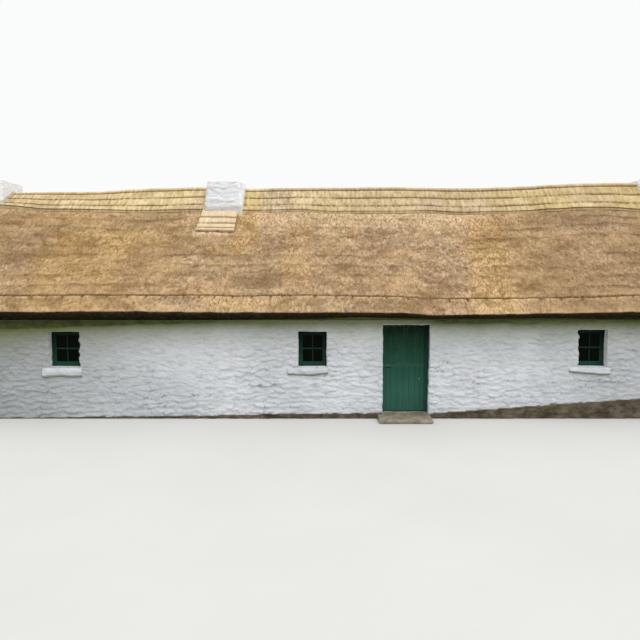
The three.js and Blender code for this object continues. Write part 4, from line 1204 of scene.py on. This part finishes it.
def boarded_leaf(name, node, body, widths, ledges, seed, rail=None):
    """A leaf of upright boards: a closed loop of front and back faces with grooves at the board joints."""
    low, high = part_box(node)
    joints = [low.x + w for w in widths]
    u = stops(low.x, high.x, 0.012, joints)
    groove = bump(np.min([np.abs(u - j) for j in joints], 0), GROOVE)
    which = np.searchsorted(joints, u)
    front = low.y + 0.004 * groove + 0.003 * chance(which, 0, seed)
    back = high.y - 0.004 * groove
    x, y = np.concatenate([u, u[::-1]]), np.concatenate([front, back[::-1]])
    z = stops(low.z, high.z, 0.045)[:, None]
    cup = 0.0012 * layers(x * 12, z * 3, seed + 4, 2) * (np.arange(len(x)) < len(u))
    points = grid(x, y + np.maximum(cup, 0), z)
    tone = 0.22 * chance(which, 0, seed + 9)
    # Painted shade: darker upward on each board by a chance amount, and along the leaf's right edge
    gloom = np.concatenate([tone, tone[::-1]]) * smooth((z - 0.6) / 0.5)
    values = {
        "groove": 0.34 * np.concatenate([groove, groove[::-1]]),
        "gloom": np.maximum(gloom, 0.5 * smooth((x - high.x + 0.03) / 0.02)),
        "edge": 0.6 * smooth((z - high.z + 0.05) / 0.04) * (node == "door_lower_leaf"),
    }
    sheets = [Sheet(points, ring=True, **values)]
    for row, flip in ((0, True), (-1, False)):
        cap = np.stack([points[row, :len(u)], points[row, len(u):][::-1]])
        sheets.append(Sheet(cap, flip=flip, edge=0.3))
    bars = [(0.07, 0.04, high.y + 0.01, *ledge, 0.011, 0.006) for ledge in ledges]
    if rail:
        bars.append((0.004, 0.004, low.y - 0.002, *rail, 0.006, 0.004))
    for left, right, y, z0, z1, thick, chamfer in bars:
        mid = (z0 + z1) / 2
        sheets.append(bar((low.x + left, y, mid), (high.x - right, y, mid), (z1 - z0) / 2, thick, chamfer))
    piece(name, sheets, PAINT, body, [node], crisp=35)


def build_door():
    """The two boarded leaves, and the strap end at the top of the lower one with a thin dark bar under it as
    its painted shadow.
    """
    lower = (0.135, 0.27, 0.4, 0.53, 0.665, 0.775), [(0.38, 0.48), (0.8, 0.9)]
    upper = (0.08, 0.205, 0.345, 0.475, 0.625, 0.76), [(1.36, 1.46), (1.66, 1.76)]
    boarded_leaf("door_lower_boards", "door_lower_leaf", "lower_door", *lower, 81, rail=(0.145, 0.2))
    boarded_leaf("door_upper_boards", "door_upper_leaf", "upper_door", *upper, 82)
    x, y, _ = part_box("door_lower_leaf")[0]
    strap = bar((x - 0.002, y - 0.004, 1.108), (x + 0.125, y - 0.004, 1.116), 0.013, 0.004, 0.002, edge=1.0)
    # Painted shadow: a thin dark bar just under the strap
    under = bar((x - 0.002, y - 0.001, 1.083), (x + 0.135, y - 0.001, 1.088), 0.01, 0.002, 0.001, gloom=0.9)
    piece("door_outer_strap", [strap, under], PAINT, "lower_door", crisp=30)


def finish_frame_nodes():
    """Gives each piece carried over from the frame its finish."""
    finishes = {
        "whitewash": LIME, "bare_stone": STEP_STONE, "thatch": THATCH, "straw": CAP_STRAW,
        "timber": TIMBER, "green_paint": PAINT, "window_glass": GLASS, "iron": IRON,
    }
    own = {"floor": FLAGS, "door_frame": FRAME_PAINT}
    for row in frame["record"]["subparts"]:
        node = frame["nodes"][row["node"]]
        node.data.materials.clear()
        node.data.materials.append(own.get(row["node"], finishes[row["material_slot"]]))


def build_stage():
    """A pale floor, soft studio light and the camera at the photo's viewing angle."""
    half, z = 120.0, -0.002
    floor = bpy.data.meshes.new("studio_floor")
    corners = [(-half, -half, z), (half, -half, z), (half, half, z), (-half, half, z)]
    floor.from_pydata(corners, [], [(0, 1, 2, 3)])
    f = Finish("studio_floor", 0.9, 0.1)
    floor.materials.append(f.finish(f.over((206, 206, 203), (216, 216, 214), f.noise(0.4))))
    made = placed("studio_floor", floor)
    world = bpy.data.worlds.new("studio")
    world.use_nodes = True
    sky = world.node_tree.nodes["Background"]
    sky.inputs[0].default_value = (0.99, 0.995, 1.0, 1)
    sky.inputs[1].default_value = 0.97
    bpy.context.scene.world = world
    sun = bpy.data.lights.new("soft_key", "SUN")
    sun.energy = 1.3
    sun.angle = math.radians(45)
    sun.color = (1.0, 0.98, 0.95)
    placed("soft_key", sun).rotation_euler = (math.radians(27), math.radians(20), 0)
    lens = bpy.data.cameras.new("camera")
    lens.lens = lens.sensor_width = 36
    lens.shift_x = CAMERA_SHIFT
    lens.clip_end = 400
    camera = placed("camera", lens)
    camera.location = CAMERA
    camera.rotation_euler = (math.radians(90 - CAMERA_PITCH), 0, 0)
    bpy.context.scene.camera = camera
    bpy.context.scene.view_settings.view_transform = "Standard"


build_stage()
finish_frame_nodes()
build_walls()
build_stones()
build_roof()
build_windows()
build_door()
